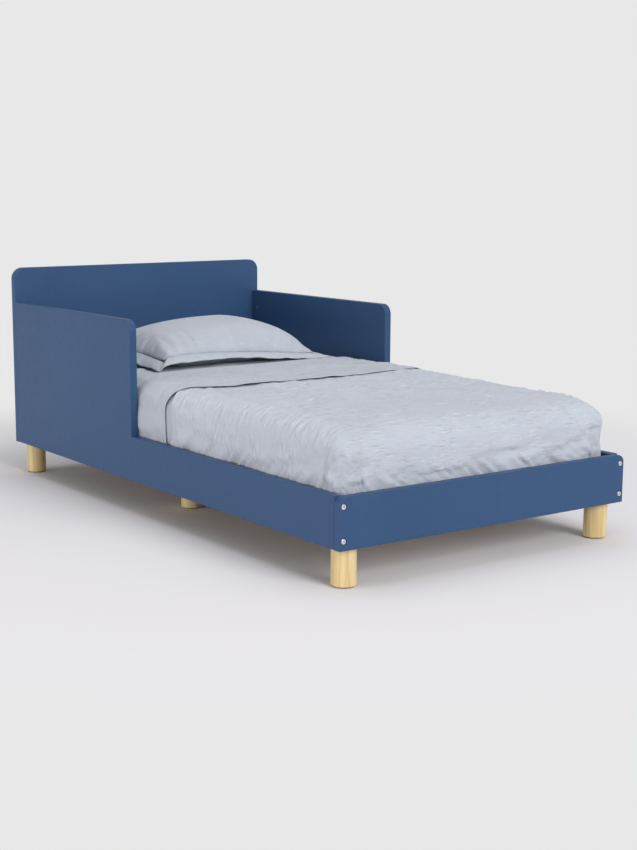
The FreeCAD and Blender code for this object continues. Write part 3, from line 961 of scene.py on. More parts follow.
class PipingTool(NodeTool):
    """A round cord of cloth along a line."""

    def __init__(self, name: str, thickness: float, pitch: float) -> None:
        """Builds the group.

        Args:
            name: The group's name.
            thickness: The cord's thickness.
            pitch: Distance between its cross-sections.
        """
        super().__init__(name, {"Radius": thickness / 2, "Pitch": pitch})
        sizes = self.start.outputs
        even = self.evenly(sizes)
        ring = self.add("GeometryNodeCurvePrimitiveCircle", {"Resolution": 8, "Radius": sizes["Radius"]})
        inputs = {"Curve": even.outputs[0], "Profile Curve": ring.outputs[0], "Fill Caps": True}
        self.close(self.add("GeometryNodeCurveToMesh", inputs).outputs[0])


def hem_stitches(name: str, cloth: ClothGrid, row: int, thread: bpy.types.Material) -> bpy.types.Object:
    """A row of stitches along a cloth's hem.

    Args:
        name: The piece's name.
        cloth: The fine cloth.
        row: Which of its rows the stitches follow.
        thread: The finish.

    Returns:
        The stitches.
    """
    line = cloth.points[row, 3:-3] + cloth.normals()[row, 3:-3] * STITCH_LIFT
    tool = StitchTool(name, pitch=0.0042, length=0.0030, thread=0.0006)
    return tool.run(name, [line], False, thread)


# The bed's own boards, legs and fixings


@dataclass
class BedFrame:
    """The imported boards, legs, base and fixings, which keep their shapes and get their finishes."""

    finishes: Finishes
    dressed: list[str] = field(default_factory=list)

    def finish_for(self, node: str) -> bpy.types.Material | None:
        """The finish of a node, or None for a soft one.

        Args:
            node: The node's name.

        Returns:
            Its material.
        """
        kinds = self.finishes
        if node in ("headboard", "footboard") or node.endswith("side_panel"):
            return kinds.blue_board
        if node.endswith("_leg"):
            return kinds.leg_wood
        if node.endswith("_glide"):
            return kinds.glide_plastic
        if node.endswith("cleat"):
            return kinds.pine_along
        if node.endswith("corner_block"):
            return kinds.pine_upright
        if node == "cross_beam" or node[:5] == "slat_" and node[5:].isdigit():
            return kinds.pine_across
        if node == "alignment_dowels":
            return kinds.dowel_beech
        if node.endswith(("bolts", "nuts", "inserts", "screws", "bracket")):
            return kinds.zinc_steel
        return None

    def dress(self) -> None:
        """Gives each hard node its finish."""
        for name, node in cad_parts.items():
            material = self.finish_for(name)
            if material is None:
                continue
            node.data.materials.clear()
            node.data.materials.append(material)
            self.dressed.append(name)
        LOG.info("frame: %d nodes dressed", len(self.dressed))


# Mattress and bedding


@dataclass
class Mattress:
    """The foam mattress in quilted ticking with piped edges."""

    finishes: Finishes
    inset: float = 0.0030
    corner: float = 0.052
    edge: float = 0.046
    cell: float = 0.0095
    quilt_pitch: float = 0.085
    quilt_depth: float = 0.0016
    quilt_width: float = 0.009
    quilted_part: Band = Band(0.8, 0.98)
    piping_thickness: float = 0.006
    piping_sink: float = 0.0024

    def build(self) -> bpy.types.Object:
        """Returns:
            The mattress.
        """
        low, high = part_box("mattress")
        half = np.array([high.x - self.inset, high.y - self.inset, (high.z - low.z) / 2 - self.inset])
        centre = np.array([0.0, 0.0, (low.z + high.z) / 2])
        points, faces, flat = self.block(half)
        points = self.quilted(points, half) + centre
        body = mesh_object("mattress_body", points, faces, flat, self.finishes.ticking)
        lines = [self.rim(half, centre, side) for side in (-1.0, 1.0)]
        piping = PipingTool("mattress_piping_cord", self.piping_thickness, 0.012).run(
            "mattress_piping", lines, True, self.finishes.piping
        )
        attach(body, "mattress")
        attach(piping, "mattress")
        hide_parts("mattress")
        LOG.info("mattress: %d faces", len(body.data.polygons))
        return body

    def block(self, half: np.ndarray) -> tuple[np.ndarray, list[tuple[int, ...]], np.ndarray]:
        """A closed block of small faces with round corners and edges.

        Args:
            half: Half its sizes.

        Returns:
            Points, faces and flat places.
        """
        counts = [max(4, int(round(2 * size / self.cell))) for size in half]
        found: dict[tuple[int, int, int], int] = {}
        places: list[tuple[int, int, int]] = []
        faces: list[tuple[int, ...]] = []
        for axis in range(3):
            first, second = (axis + 1) % 3, (axis + 2) % 3
            for side in (0, counts[axis]):
                for i in range(counts[first]):
                    for j in range(counts[second]):
                        ring = []
                        for step_i, step_j in ((0, 0), (1, 0), (1, 1), (0, 1)):
                            key = [0, 0, 0]
                            key[axis], key[first], key[second] = side, i + step_i, j + step_j
                            code = (key[0], key[1], key[2])
                            if code not in found:
                                found[code] = len(places)
                                places.append(code)
                            ring.append(found[code])
                        faces.append(tuple(ring if side else ring[::-1]))
        points = (np.array(places) / np.array(counts) * 2 - 1) * half
        round_by = np.array([self.corner, self.corner, self.edge])
        inner = np.clip(points, -(half - round_by), half - round_by)
        out = (points - inner) / round_by
        length = np.linalg.norm(out, axis=1, keepdims=True)
        flat = points[:, :2] + points[:, 2:3] * 0.7
        return inner + out / np.maximum(length, 1e-9) * (length > 0) * round_by, faces, flat

    def quilted(self, points: np.ndarray, half: np.ndarray) -> np.ndarray:
        """Presses crossed quilting lines into the top and the bottom."""
        diagonals = (points[:, 0] + points[:, 1], points[:, 0] - points[:, 1])
        pitch = self.quilt_pitch
        near = np.minimum(*(np.abs((place / pitch + 0.5) % 1.0 - 0.5) * pitch for place in diagonals))
        press = self.quilt_depth * np.exp(-((near / self.quilt_width) ** 2))
        level = self.quilted_part.share(np.abs(points[:, 2]) / half[2])
        sink = bedding_sink(points[:, 0], points[:, 1]) * np.clip(points[:, 2] / half[2] * 0.5 + 0.5, 0, 1)
        moved = points.copy()
        moved[:, 2] -= np.sign(points[:, 2]) * press * level + sink
        return moved

    def rim(self, half: np.ndarray, centre: np.ndarray, side: float) -> np.ndarray:
        """The piping's line round the top or bottom edge.

        Args:
            half: Half the block's sizes.
            centre: The block's centre.
            side: 1 for the top and -1 for the bottom.

        Returns:
            The line's points.
        """
        turn = np.linspace(0, math.tau, 128, endpoint=False)
        slant = math.sqrt(0.5)
        give = self.corner * (1 - slant) + self.piping_sink * slant
        lower = self.edge * (1 - slant) + self.piping_sink * slant
        out_x, out_y = np.cos(turn), np.sin(turn)
        corner = np.array([half[0], half[1]]) - self.corner
        x = np.clip(out_x * 4, -1, 1) * corner[0] + out_x * (self.corner - give)
        y = np.clip(out_y * 4, -1, 1) * corner[1] + out_y * (self.corner - give)
        z = np.full_like(x, side * (half[2] - lower))
        z -= bedding_sink(x, y) * (side > 0)
        return np.stack([x, y, z], axis=1) + centre


@dataclass
class FittedSheet:
    """The fitted sheet, stretched over the mattress and turned under its edge."""

    finishes: Finishes
    thickness: float = 0.0008
    turn_under: float = 0.032
    hem_lift: float = 0.0002
    form_gap: float = 0.003
    cell: float = 0.0150
    fine_cell: float = 0.0072
    settling: Settling = Settling(14, 0.010, 20.0, 0.8, 0.6, cap=0.004)
    held_edge: Band = Band(0.19, 0.16)
    held_by_coverlet: Band = Band(-0.03, -0.10)
    pressed_flat: Band = Band(-0.02, -0.05)
    loose: Ripple = Ripple(0.0007, 6, 24, middle=1.0)
    loose_part: Band = Band(-0.10, -0.02)
    lines: tuple[Ripple, ...] = (
        Ripple(0.0005, 5, 62, layer=1, start=(3.0, 0.0)),
        Ripple(0.0004, 9, 38, layer=2, lean=20),
    )
    gathers: Ripple = Ripple(0.0012, 45, 4, layer=3)
    gathered_part: Band = Band(0.23, 0.17)
    seed: int = 11

    def build(self) -> bpy.types.Object:
        """Returns:
            The sheet.
        """
        low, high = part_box("fitted_sheet")
        form = TrayForm(high.x, high.y, high.z, low.z + self.hem_lift, turn_under=self.turn_under)
        half_x, half_y = form.half_cut()
        columns, rows = int(2 * half_x / self.cell), int(2 * half_y / self.cell)
        base = form.cloth(columns, rows, half_y, -half_y)
        start = base.raised(self.slack(base))
        gap = self.form_gap
        block = TrayForm(high.x - gap, high.y - gap, high.z - gap, low.z - FORM_BELOW_HEM)
        under = block.cloth(60, 110, half_y, -half_y).make("form", None)
        settled = settle_grid(start, self.settling, self.held(base), under)
        fine = settled.refined(int(2 * half_y / self.fine_cell), int(2 * half_x / self.fine_cell))
        flat = base.refined(*fine.points.shape[:2])
        fine = fine.raised(self.creases(fine))
        pressed = self.pressed_flat.share(fine.flat[..., 1])[..., None]
        fine.points = fine.points * (1 - pressed) + flat.points * pressed
        fine.points[..., 2] = np.clip(fine.points[..., 2], low.z + self.hem_lift / 2, None)
        sheet = solid_cloth(fine.make("fitted_sheet_cloth", self.finishes.sheet_cotton), self.thickness)
        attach(sheet, "mattress")
        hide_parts("fitted_sheet")
        faces = len(sheet.data.polygons)
        LOG.info("fitted sheet: cut %.3f by %.3f m, %d faces", 2 * half_x, 2 * half_y, faces)
        return sheet

    def held(self, base: ClothGrid) -> np.ndarray:
        """How firmly each point is held: the turned-under edge, and all that the coverlet presses."""
        edge = self.held_edge.share(base.points[..., 2])
        return np.maximum(edge, self.held_by_coverlet.share(base.flat[..., 1]))

    def slack(self, base: ClothGrid) -> np.ndarray:
        """Loose swells that the simulation starts from."""
        across, along = base.flat[..., 0], base.flat[..., 1]
        return self.loose.lift(across, along, self.seed) * self.loose_part.share(along)

    def creases(self, grid: ClothGrid) -> np.ndarray:
        """Fine tension lines across the bed, and gathers along the turned-under edge."""
        across, along, level = grid.flat[..., 0], grid.flat[..., 1], grid.points[..., 2]
        lines = sum(ripple.lift(across, along, self.seed) for ripple in self.lines)
        at_end, at_side = np.abs(grid.points[..., 1]) > 0.62, np.abs(grid.points[..., 0]) > 0.32
        run = across * at_end + along * at_side
        return lines + self.gathers.lift(run, level, self.seed) * self.gathered_part.share(level)


@dataclass
class Coverlet:
    """The crinkled coverlet over the foot part of the bed, tucked down inside the rails."""

    finishes: Finishes
    thickness: float = 0.0024
    cell: float = 0.0125
    fine_across: float = 0.0056
    fine_along: float = 0.0024
    form_gap: float = 0.0035
    rail_gap: float = 0.0012
    stitches_from_edge: float = 0.012
    settling: Settling = Settling(14, 0.004, 15.0, 0.6, 0.8, cap=0.0035)
    tucked: Band = Band(0.200, 0.172)
    head_held: Band = Band(-0.03, 0.0)
    head_wave: Ripple = Ripple(0.003, 9, start=(0.0, 4.0))
    top_slack: Ripple = Ripple(0.0009, 7, 11, layer=1)
    side_slack: Ripple = Ripple(0.0013, 11, 9, layer=2, middle=0.4)
    side_part: Band = Band(0.30, 0.26)
    tuck_slack: Ripple = Ripple(0.0012, 30, 7, layer=3)
    low_part: Band = Band(0.25, 0.185)
    crinkled_part: Band = Band(0.24, 0.29)
    near_tuck: Band = Band(0.222, 0.180)
    off_corner: Band = Band(0.075, 0.0)
    folds: Ripple = Ripple(1.0, 62, 14, layer=5)
    fold_height: float = 0.0036
    puckers: Ripple = Ripple(0.0046, 110, 26, layer=6)
    side_waves: Ripple = Ripple(0.0010, 26, 30, layer=7)
    waved_part: Band = Band(0.285, 0.25)
    corner_creases: tuple[Crease, ...] = (
        Crease(0.42, 0.11, 0.0024),
        Crease(0.74, 0.08, -0.0022),
        Crease(1.02, 0.10, 0.0022),
    )
    crinkle_clusters: int = 140
    crinkles_each: tuple[int, int] = (8, 22)
    cluster_spread: tuple[float, float] = (0.055, 0.024)
    crinkle_lengths: tuple[float, float] = (0.007, 0.015)
    crinkle_widths: tuple[float, float] = (0.0022, 0.0036)
    crinkle_heights: tuple[float, float] = (0.0011, 0.0026)
    seed: int = 23

    def build(self) -> bpy.types.Object:
        """Returns:
            The coverlet.
        """
        low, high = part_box("coverlet")
        form = TrayForm(high.x, -low.y, high.z, low.z)
        half_x, half_y = form.half_cut()
        columns = int(2 * half_x / self.cell)
        head_line = self.head_edge(np.linspace(-half_x, half_x, columns), high.y)
        rows = int((half_y + high.y) / self.cell)
        base = form.cloth(columns, rows, head_line, -half_y)
        start = base.raised(self.slack(base))
        gap = self.form_gap
        block = TrayForm(high.x - gap, -low.y - gap, high.z - gap, low.z - FORM_BELOW_HEM)
        under = block.cloth(60, 60, high.y + 0.02, -half_y).make("form", None)
        from_head = base.flat[..., 1] - head_line
        held = np.maximum(self.tucked.share(base.points[..., 2]), self.head_held.share(from_head))
        settled = settle_grid(start, self.settling, held, under)
        fine = settled.refined(int((half_y + high.y) / self.fine_along), int(2 * half_x / self.fine_across))
        fine = fine.raised(self.relief(fine, form))
        fine.points = self.inside_rails(fine.points)
        cover = solid_cloth(fine.make("coverlet_cloth", self.finishes.coverlet_cotton), self.thickness)
        row = fine.points.shape[0] - 1 - int(round(self.stitches_from_edge / self.fine_along))
        stitches = hem_stitches("coverlet_hem_stitches", fine, row, self.finishes.thread)
        for piece in (cover, stitches):
            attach(piece, "mattress")
        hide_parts("coverlet")
        return cover

    def head_edge(self, across: np.ndarray, level: float) -> np.ndarray:
        """Where the head edge lies along the bed, for places across it.

        Args:
            across: Places across the flat cut.
            level: The edge's furthest place along the bed.

        Returns:
            The edge's place along the bed.
        """
        return level + self.head_wave.lift(across, across, self.seed)

    def slack(self, base: ClothGrid) -> np.ndarray:
        """Loose swells on the sides and the foot that the simulation starts from."""
        across, along, level = base.flat[..., 0], base.flat[..., 1], base.points[..., 2]
        around = across + along
        top = self.top_slack.lift(across, along, self.seed)
        skirt = self.side_slack.lift(around, level, self.seed) * self.side_part.share(level)
        tuck = self.tuck_slack.lift(around, level, self.seed) * self.low_part.share(level)
        return top + skirt + tuck

    def relief(self, grid: ClothGrid, form: TrayForm) -> np.ndarray:
        """Crinkles, tuck puckers and corner creases.

        Args:
            grid: The fine cloth.
            form: The form that it lies on.

        Returns:
            The height to add at each point.
        """
        across, along, level = grid.flat[..., 0], grid.flat[..., 1], grid.points[..., 2]
        height = self.crinkles(grid) * (0.5 + 0.5 * self.crinkled_part.share(level))
        around = across + along
        near_tuck = self.near_tuck.share(level)
        past_x = np.maximum(np.abs(across) - (form.half_width - form.shoulder), 0.0)
        past_y = np.maximum(-along - (form.half_length - form.shoulder), 0.0)
        past_both, past_either = np.minimum(past_x, past_y), np.maximum(past_x, past_y)
        away = self.off_corner.share(past_both)
        folds = 1 - 2 * np.abs(self.folds.lift(around, level, self.seed))
        height = height * (0.25 + 0.75 * away) + self.fold_height * folds * near_tuck * away
        height += self.puckers.lift(around, level, self.seed) * near_tuck**2 * (0.2 + 0.8 * away)
        height += self.side_waves.lift(around, level, self.seed) * self.waved_part.share(level) * away
        turn = np.arctan2(past_y, np.maximum(past_x, 1e-9))
        corner = Band(0.0, 0.05).share(past_both) * Band(0.02, 0.08).share(past_either)
        for crease in self.corner_creases:
            height += crease.lift(turn) * corner
        return height

    def crinkles(self, grid: ClothGrid) -> np.ndarray:
        """Short crinkles in loose clusters, long across the bed and narrow along it."""
        rows, columns = grid.flat.shape[:2]
        height = np.zeros((rows, columns))
        draw = np.random.default_rng(self.seed)
        across, along = grid.flat[0, :, 0], grid.flat[:, columns // 2, 1]
        for _ in range(self.crinkle_clusters):
            centre = draw.uniform((across[0], along[0]), (across[-1], along[-1]))
            for _ in range(int(draw.integers(*self.crinkles_each))):
                middle = centre + draw.normal(0.0, self.cluster_spread)
                length, width = draw.uniform(*self.crinkle_lengths), draw.uniform(*self.crinkle_widths)
                depth = draw.choice((-1.0, 1.0)) * draw.uniform(*self.crinkle_heights)
                i0, i1 = np.searchsorted(across, (middle[0] - 2.2 * length, middle[0] + 2.2 * length))
                j0, j1 = np.searchsorted(along, (middle[1] - 2.5 * width, middle[1] + 2.5 * width))
                part_x = np.exp(-(((across[i0:i1] - middle[0]) / length) ** 2))
                part_y = np.exp(-(((along[j0:j1] - middle[1]) / width) ** 2))
                height[j0:j1, i0:i1] += depth * part_y[:, None] * part_x[None, :]
        return height

    def inside_rails(self, points: np.ndarray) -> np.ndarray:
        """Keeps the tucked cloth clear of the rails and the footboard."""
        rail_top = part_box("footboard")[1].z + 0.004
        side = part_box("slat_05")[1].x + 0.001 - self.rail_gap
        end = -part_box("footboard")[1].y - self.rail_gap
        low = points[..., 2] < rail_top
        kept = points.copy()
        kept[..., 0] = np.where(low, np.clip(points[..., 0], -side, side), points[..., 0])
        kept[..., 1] = np.where(low, np.clip(points[..., 1], -end, None), points[..., 1])
        return kept


@dataclass
class TopSheet:
    """The turned-down end of the top sheet, which laps over the coverlet's head edge."""

    finishes: Finishes
    thickness: float = 0.0016
    cell: float = 0.0110
    fine_across: float = 0.0072
    fine_along: float = 0.0030
    lift: float = 0.0034
    thinning: float = 0.0026
    shoulder: tuple[float, float] = (0.051, 0.046)
    stitches_from_edge: float = 0.011
    settling: Settling = Settling(14, 0.010, 15.0, 0.5, 0.8, cap=0.004)
    slack: Ripple = Ripple(0.0010, 5, 17, middle=1.0)
    tucked: Band = Band(0.200, 0.172)
    lap_held: Band = Band(0.03, 0.0)
    rear_held: Band = Band(0.13, 0.17)
    thinned_part: Band = Band(0.03, 0.12)
    near_sweep: float = 0.088
    far_sweep: float = 0.030
    lap_wave: Ripple = Ripple(0.0022, 11, layer=4, start=(0.0, 2.0))
    lines: tuple[Ripple, ...] = (
        Ripple(0.0005, 5, 70, layer=1),
        Ripple(0.0005, 10, 34, layer=2, lean=6),
    )
    lift_waves: tuple[Ripple, ...] = (
        Ripple(0.25, 9, layer=5, start=(0.0, 7.0)),
        Ripple(0.35, 31, layer=7, start=(0.0, 1.0)),
    )
    calm_part: Band = Band(0.14, 0.26)
    top_part: Band = Band(0.262, 0.292)
    hem_groove: Crease = Crease(0.011, 0.003, -0.0006)
    long_creases: tuple[tuple[Crease, Band], ...] = (
        (Crease(0.045, 0.0045, 0.0016, slant=0.10), Band(0.02, 0.16)),
        (Crease(0.115, 0.004, 0.0013, slant=-0.04), Band(-0.02, 0.2)),
    )
    tuck_waves: Ripple = Ripple(0.0014, 60, 12, layer=6)
    near_tuck: Band = Band(0.225, 0.178)
    seed: int = 37

    def build(self) -> bpy.types.Object:
        """Returns:
            The cloth.
        """
        low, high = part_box("top_sheet")
        form = TrayForm(high.x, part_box("fitted_sheet")[1].y, high.z + 0.0006, low.z, *self.shoulder)
        half_x = form.half_cut()[0]
        columns = int(2 * half_x / self.cell)
        lap = self.lap_edge(np.linspace(-half_x, half_x, columns), form)
        rows = int((high.y - low.y) / self.cell)
        share = np.linspace(0.0, 1.0, rows)[:, None]
        across = np.broadcast_to(np.linspace(-half_x, half_x, columns), (rows, columns))
        along = lap[None, :] + (high.y - lap[None, :]) * share
        base = ClothGrid(form.place(across, along), np.stack([across, along], axis=-1))
        start = base.raised(self.slack.lift(across, along, self.seed))
        block_top, block_hem = high.z - 0.0018, low.z - FORM_BELOW_HEM
        block = TrayForm(high.x - 0.002, form.half_length, block_top, block_hem, *self.shoulder)
        under = block.cloth(60, 40, high.y + 0.05, low.y - 0.05).make("form", None)
        tucked, lapped = self.tucked.share(base.points[..., 2]), self.lap_held.share(along - lap[None, :])
        held = np.maximum(np.maximum(tucked, lapped), self.rear_held.share(along))
        settled = settle_grid(start, self.settling, held, under)
        fine = settled.refined(int((high.y - low.y) / self.fine_along), int(2 * half_x / self.fine_across))
        fine = fine.raised(self.relief(fine))
        thinned = self.thinning * self.thinned_part.share(fine.flat[..., 1])
        fine.points[..., 2] -= thinned * (fine.points[..., 2] > 0.29)
        cloth = solid_cloth(fine.make("top_sheet_cloth", self.finishes.top_sheet_cotton), self.thickness)
        row = int(round(self.stitches_from_edge / self.fine_along))
        stitches = hem_stitches("top_sheet_hem_stitches", fine, row, self.finishes.thread)
        for piece in (cloth, stitches):
            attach(piece, "mattress")
        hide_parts("top_sheet")
        return cloth

    def lap_edge(self, across: np.ndarray, form: TrayForm) -> np.ndarray:
        """Where the lapped edge lies: further from the head in the middle than down the sides."""
        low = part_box("top_sheet")[0].y
        inner = form.half_width - form.shoulder
        near = Band(-inner + 0.07, -inner - 0.085).share(across) * self.near_sweep
        far = Band(0.05, inner + 0.05).share(across) * self.far_sweep
        return low + near + far + self.lap_wave.lift(across, across, self.seed)

    def relief(self, grid: ClothGrid) -> np.ndarray:
        """Fine lines across the bed, the lifted edge and a few long creases."""
        across, along, level = grid.flat[..., 0], grid.flat[..., 1], grid.points[..., 2]
        lines = sum(ripple.lift(across, along, self.seed) for ripple in self.lines)
        from_edge = along - along[0][None, :]
        wave = 0.55 + sum(ripple.lift(across, across, self.seed) for ripple in self.lift_waves)
        wave *= 1 - 0.9 * self.calm_part.share(across)
        lifted = self.lift * wave * Band(0.030, 0.0).share(from_edge)
        lifted *= 0.25 + 0.75 * self.top_part.share(level)
        height = lines + lifted + self.hem_groove.lift(from_edge)
        for crease, part in self.long_creases:
            height += crease.lift(along, across) * part.share(across)
        return height + self.tuck_waves.lift(along, level, self.seed) * self.near_tuck.share(level)


# Pillow


@dataclass
class Pillow:
    """The pillow: a filled insert in a sham with a stitched flange all round."""

    finishes: Finishes
    flange: float = 0.022
    columns: int = 61
    rows: int = 43
    bow: tuple[float, float] = (0.022, 0.035)
    crest: float = 0.1035
    crest_shift: float = 0.26
    flange_thickness: float = 0.0022
    corner_ease: float = 0.05
    seam_above_flange: tuple[float, float, float, float] = (0.0105, 0.015, 0.022, 0.022)
    insert_scale: tuple[float, float, float] = (0.975, 0.965, 0.93)
    filling: Settling = Settling(20, 0.026, 14.0, 0.25, 0.0, 2.0, 0.008)
    gathers: Ripple = Ripple(0.0018, 75, start=(0.0, 1.0))
    end_creases: tuple[Crease, ...] = (
        Crease(-0.80, 0.020, -0.0045, slant=0.03),
        Crease(-0.885, 0.018, 0.0035, slant=0.03),
        Crease(-0.66, 0.025, -0.0025, slant=0.03),
        Crease(-0.5, 0.03, 0.0015, slant=0.03),
    )
    flange_waves: tuple[Ripple, ...] = (
        Ripple(0.0018, 22, layer=1, start=(0.0, 3.0)),
        Ripple(0.0010, 60, layer=2),
    )
    droop: float = 0.0018
    droop_wave: Ripple = Ripple(0.0012, 70, layer=3, start=(0.0, 5.0))
    seed: int = 51

    def build(self) -> None:
        low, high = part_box("pillow_sham")
        self.low, self.high = np.array(low), np.array(high)
        self.centre = (self.low + self.high) / 2
        self.half = (self.high - self.low)[:2] / 2 - self.flange
        across, along = np.meshgrid(np.linspace(-1, 1, self.columns), np.linspace(-1, 1, self.rows))
        upper, lower = self.skin(across, along, True), self.skin(across, along, False)
        points, faces, ring = self.closed(upper, lower)
        settled = self.inflated(points, faces, ring)
        flat = self.flat_list(across, along)
        skin = mesh_object("pillow_sham_body", settled, faces, flat, self.finishes.sham_cotton)
        body = self.subdivided(skin)
        insert = self.insert(settled, faces, flat)
        border, stitch_line = self.border(settled[ring])
        tool = StitchTool("sham_flange_stitches", pitch=0.0040, length=0.0029, thread=0.0006)
        stitches = tool.run("sham_flange_stitches", [stitch_line], True, self.finishes.thread)
        for piece in (body, border, stitches, insert):
            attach(piece, "pillow")
        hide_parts("pillow_sham")
        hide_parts("pillow_insert")
        LOG.info("pillow: %d faces", len(body.data.polygons))

    def outline(self, across: np.ndarray, along: np.ndarray) -> tuple[np.ndarray, np.ndarray]:
        """Where a place on the square pattern lies in plan: drawn-in sides and eased corners."""
        ease_x = np.sqrt(1 - self.corner_ease * along**4)
        ease_y = np.sqrt(1 - self.corner_ease * across**4)
        x = self.half[0] * across * ease_x * (1 - self.bow[0] * (1 - along**2))
        y = self.half[1] * along * ease_y * (1 - self.bow[1] * (1 - across**2))
        return self.centre[0] + x, self.centre[1] + y

    def flange_level(self, side: int, share: np.ndarray) -> np.ndarray:
        """Height of the flange's outer edge along one side, as it rises between its corners.

        Args:
            side: 0 front, 1 right, 2 back, 3 left.
            share: Place along the side from the left or from the front, from 0 to 1.

        Returns:
            The height above the bed's floor.
        """
        rest = self.low[2] + self.flange_thickness
        if side == 0:
            rise = 0.0185 * share**0.30 * (1 - share) / 0.50
        else:
            rise = 0.007 * np.sin(math.pi * share) ** 0.8
        return rest + rise

    def seam_level(self, across: np.ndarray, along: np.ndarray) -> np.ndarray:
        """Height of the seam's plane at a place, blended from its four sides."""
        right, back = (across + 1) / 2, (along + 1) / 2
        places = (right, back, right, back)
        front_side, right_side, back_side, left_side = (
            self.flange_level(side, places[side]) + self.seam_above_flange[side] for side in range(4)
        )
        corner = self.low[2] + 0.0155
        both = (1 - back) * front_side + back * back_side + (1 - right) * left_side + right * right_side
        return both - corner - 0.003

    def bulge(self, across: np.ndarray, along: np.ndarray) -> np.ndarray:
        """Share of the full height at a place: steep at the left end and falling off to the right."""
        shifted = across - self.crest_shift
        size = np.abs(shifted) / np.where(shifted < 0, 1 + self.crest_shift, 1 - self.crest_shift)
        left = np.clip(1 - size**2.3, 0, 1) ** 0.60
        right = (1 - 0.70 * size**1.35) * np.clip(1 - size**7, 0, 1) ** 0.6
        front = np.clip(1 - np.abs(along) ** 2.5, 0, 1) ** 0.50
        return np.where(shifted < 0, left, right) * front

    def skin(self, across: np.ndarray, along: np.ndarray, upper: bool) -> np.ndarray:
        """The starting shape of the upper or lower side.

        Args:
            across: Places on the square pattern, -1 to 1.
            along: The same, from the front to the back.
            upper: Whether it is the upper side.

        Returns:
            Its points.
        """
        x, y = self.outline(across, along)
        seam = self.seam_level(across, along)
        if upper:
            z = seam + (self.low[2] + self.crest - seam) * self.bulge(across, along)
        else:
            rest = np.clip(1 - across**6, 0, 1) ** 0.7 * np.clip(1 - along**6, 0, 1) ** 0.7
            z = seam + (self.low[2] + 0.0006 - seam) * rest
        return np.stack([x, y, z], axis=-1)

    def closed(
        self, upper: np.ndarray, lower: np.ndarray
    ) -> tuple[np.ndarray, list[tuple[int, ...]], np.ndarray]:
        """Joins both sides at the seam.

        Args:
            upper: The upper side's grid.
            lower: The lower side's grid.

        Returns:
            Points, faces, and the seam's point numbers in order.
        """
        rows, columns = self.rows, self.columns
        count = rows * columns
        number = np.arange(count).reshape(rows, columns)
        below = number.copy()
        below[1:-1, 1:-1] = count + np.arange((rows - 2) * (columns - 2)).reshape(rows - 2, columns - 2)
        faces: list[tuple[int, ...]] = list(grid_faces(rows, columns))
        flat_below = below.reshape(-1)
        faces += [tuple(int(flat_below[i]) for i in face[::-1]) for face in grid_faces(rows, columns)]
        points = np.concatenate([upper.reshape(-1, 3), lower[1:-1, 1:-1].reshape(-1, 3)])
        ring = np.concatenate([number[0, :-1], number[:-1, -1], number[-1, :0:-1], number[:0:-1, 0]])
        return points, faces, ring

    def flat_list(self, across: np.ndarray, along: np.ndarray) -> np.ndarray:
        """Each point's place on the flat cut, upper side first and then the lower side's inner points."""
        flat = np.stack([across * self.half[0], along * self.half[1]], axis=-1)
        return np.concatenate([flat.reshape(-1, 2), flat[1:-1, 1:-1].reshape(-1, 2) * (1, -1)])

    def inflated(self, points: np.ndarray, faces: Sequence[Sequence[int]], ring: np.ndarray) -> np.ndarray:
        """Fills the closed skin with its seam held, and brings it back to its measured height."""
        held = np.zeros(len(points))
        held[ring] = 1.0
        settled = self.filling.run(self.puckered(points), faces, held)
        low, top = settled[:, 2].min(), settled[:, 2].max()
        seam = points[ring, 2].mean()
        above = settled[:, 2] > seam
        full = self.low[2] + self.crest
        settled[above, 2] = seam + (settled[above, 2] - seam) * (full - seam) / (top - seam)
        rest = self.low[2] + 0.0004
        settled[~above, 2] = np.maximum(settled[~above, 2], rest)
        LOG.info("pillow filled from %.1f to %.1f mm", low * 1000, top * 1000)
        return settled

    def puckered(self, points: np.ndarray) -> np.ndarray:
        """Small gathers next to the seam, and creases at the left end, from which the filling starts."""
        local = (points[:, :2] - self.centre[:2]) / self.half
        inset = 1 - np.abs(local)
        near_x, near_y = inset[:, 0] * self.half[0], inset[:, 1] * self.half[1]
        near = np.minimum(near_x, near_y)
        edge = np.exp(-((near / 0.022) ** 2)) * (near > 0.002)
        run = np.where(near_x < near_y, points[:, 1], points[:, 0])
        height = self.gathers.lift(run, run, self.seed) * edge
        front = Band(-0.05, -0.7).share(local[:, 1]) * Band(-1.0, -0.93).share(local[:, 1])
        for crease in self.end_creases:
            height += crease.lift(local[:, 0], local[:, 1]) * front
        moved = points.copy()
        upper = points[:, 2] > self.seam_level(local[:, 0], local[:, 1]) + 0.001
        moved[:, 2] += height * upper
        moved[:, 1] -= height * upper * front * 0.6
        return moved

    def subdivided(self, made: bpy.types.Object) -> bpy.types.Object:
        """One level of subdivision."""
        finer = made.modifiers.new("finer", "SUBSURF")
        finer.levels = finer.render_levels = 1
        return applied(made)

    def insert(
        self, settled: np.ndarray, faces: Sequence[Sequence[int]], flat: np.ndarray
    ) -> bpy.types.Object:
        """The filled inner cushion, just inside the sham."""
        heart = np.array([self.centre[0], self.centre[1], self.low[2] + self.crest * 0.38])
        inner = heart + (settled - heart) * np.array(self.insert_scale)
        made = mesh_object("pillow_insert_body", inner, faces, flat, self.finishes.ticking)
        return self.subdivided(made)

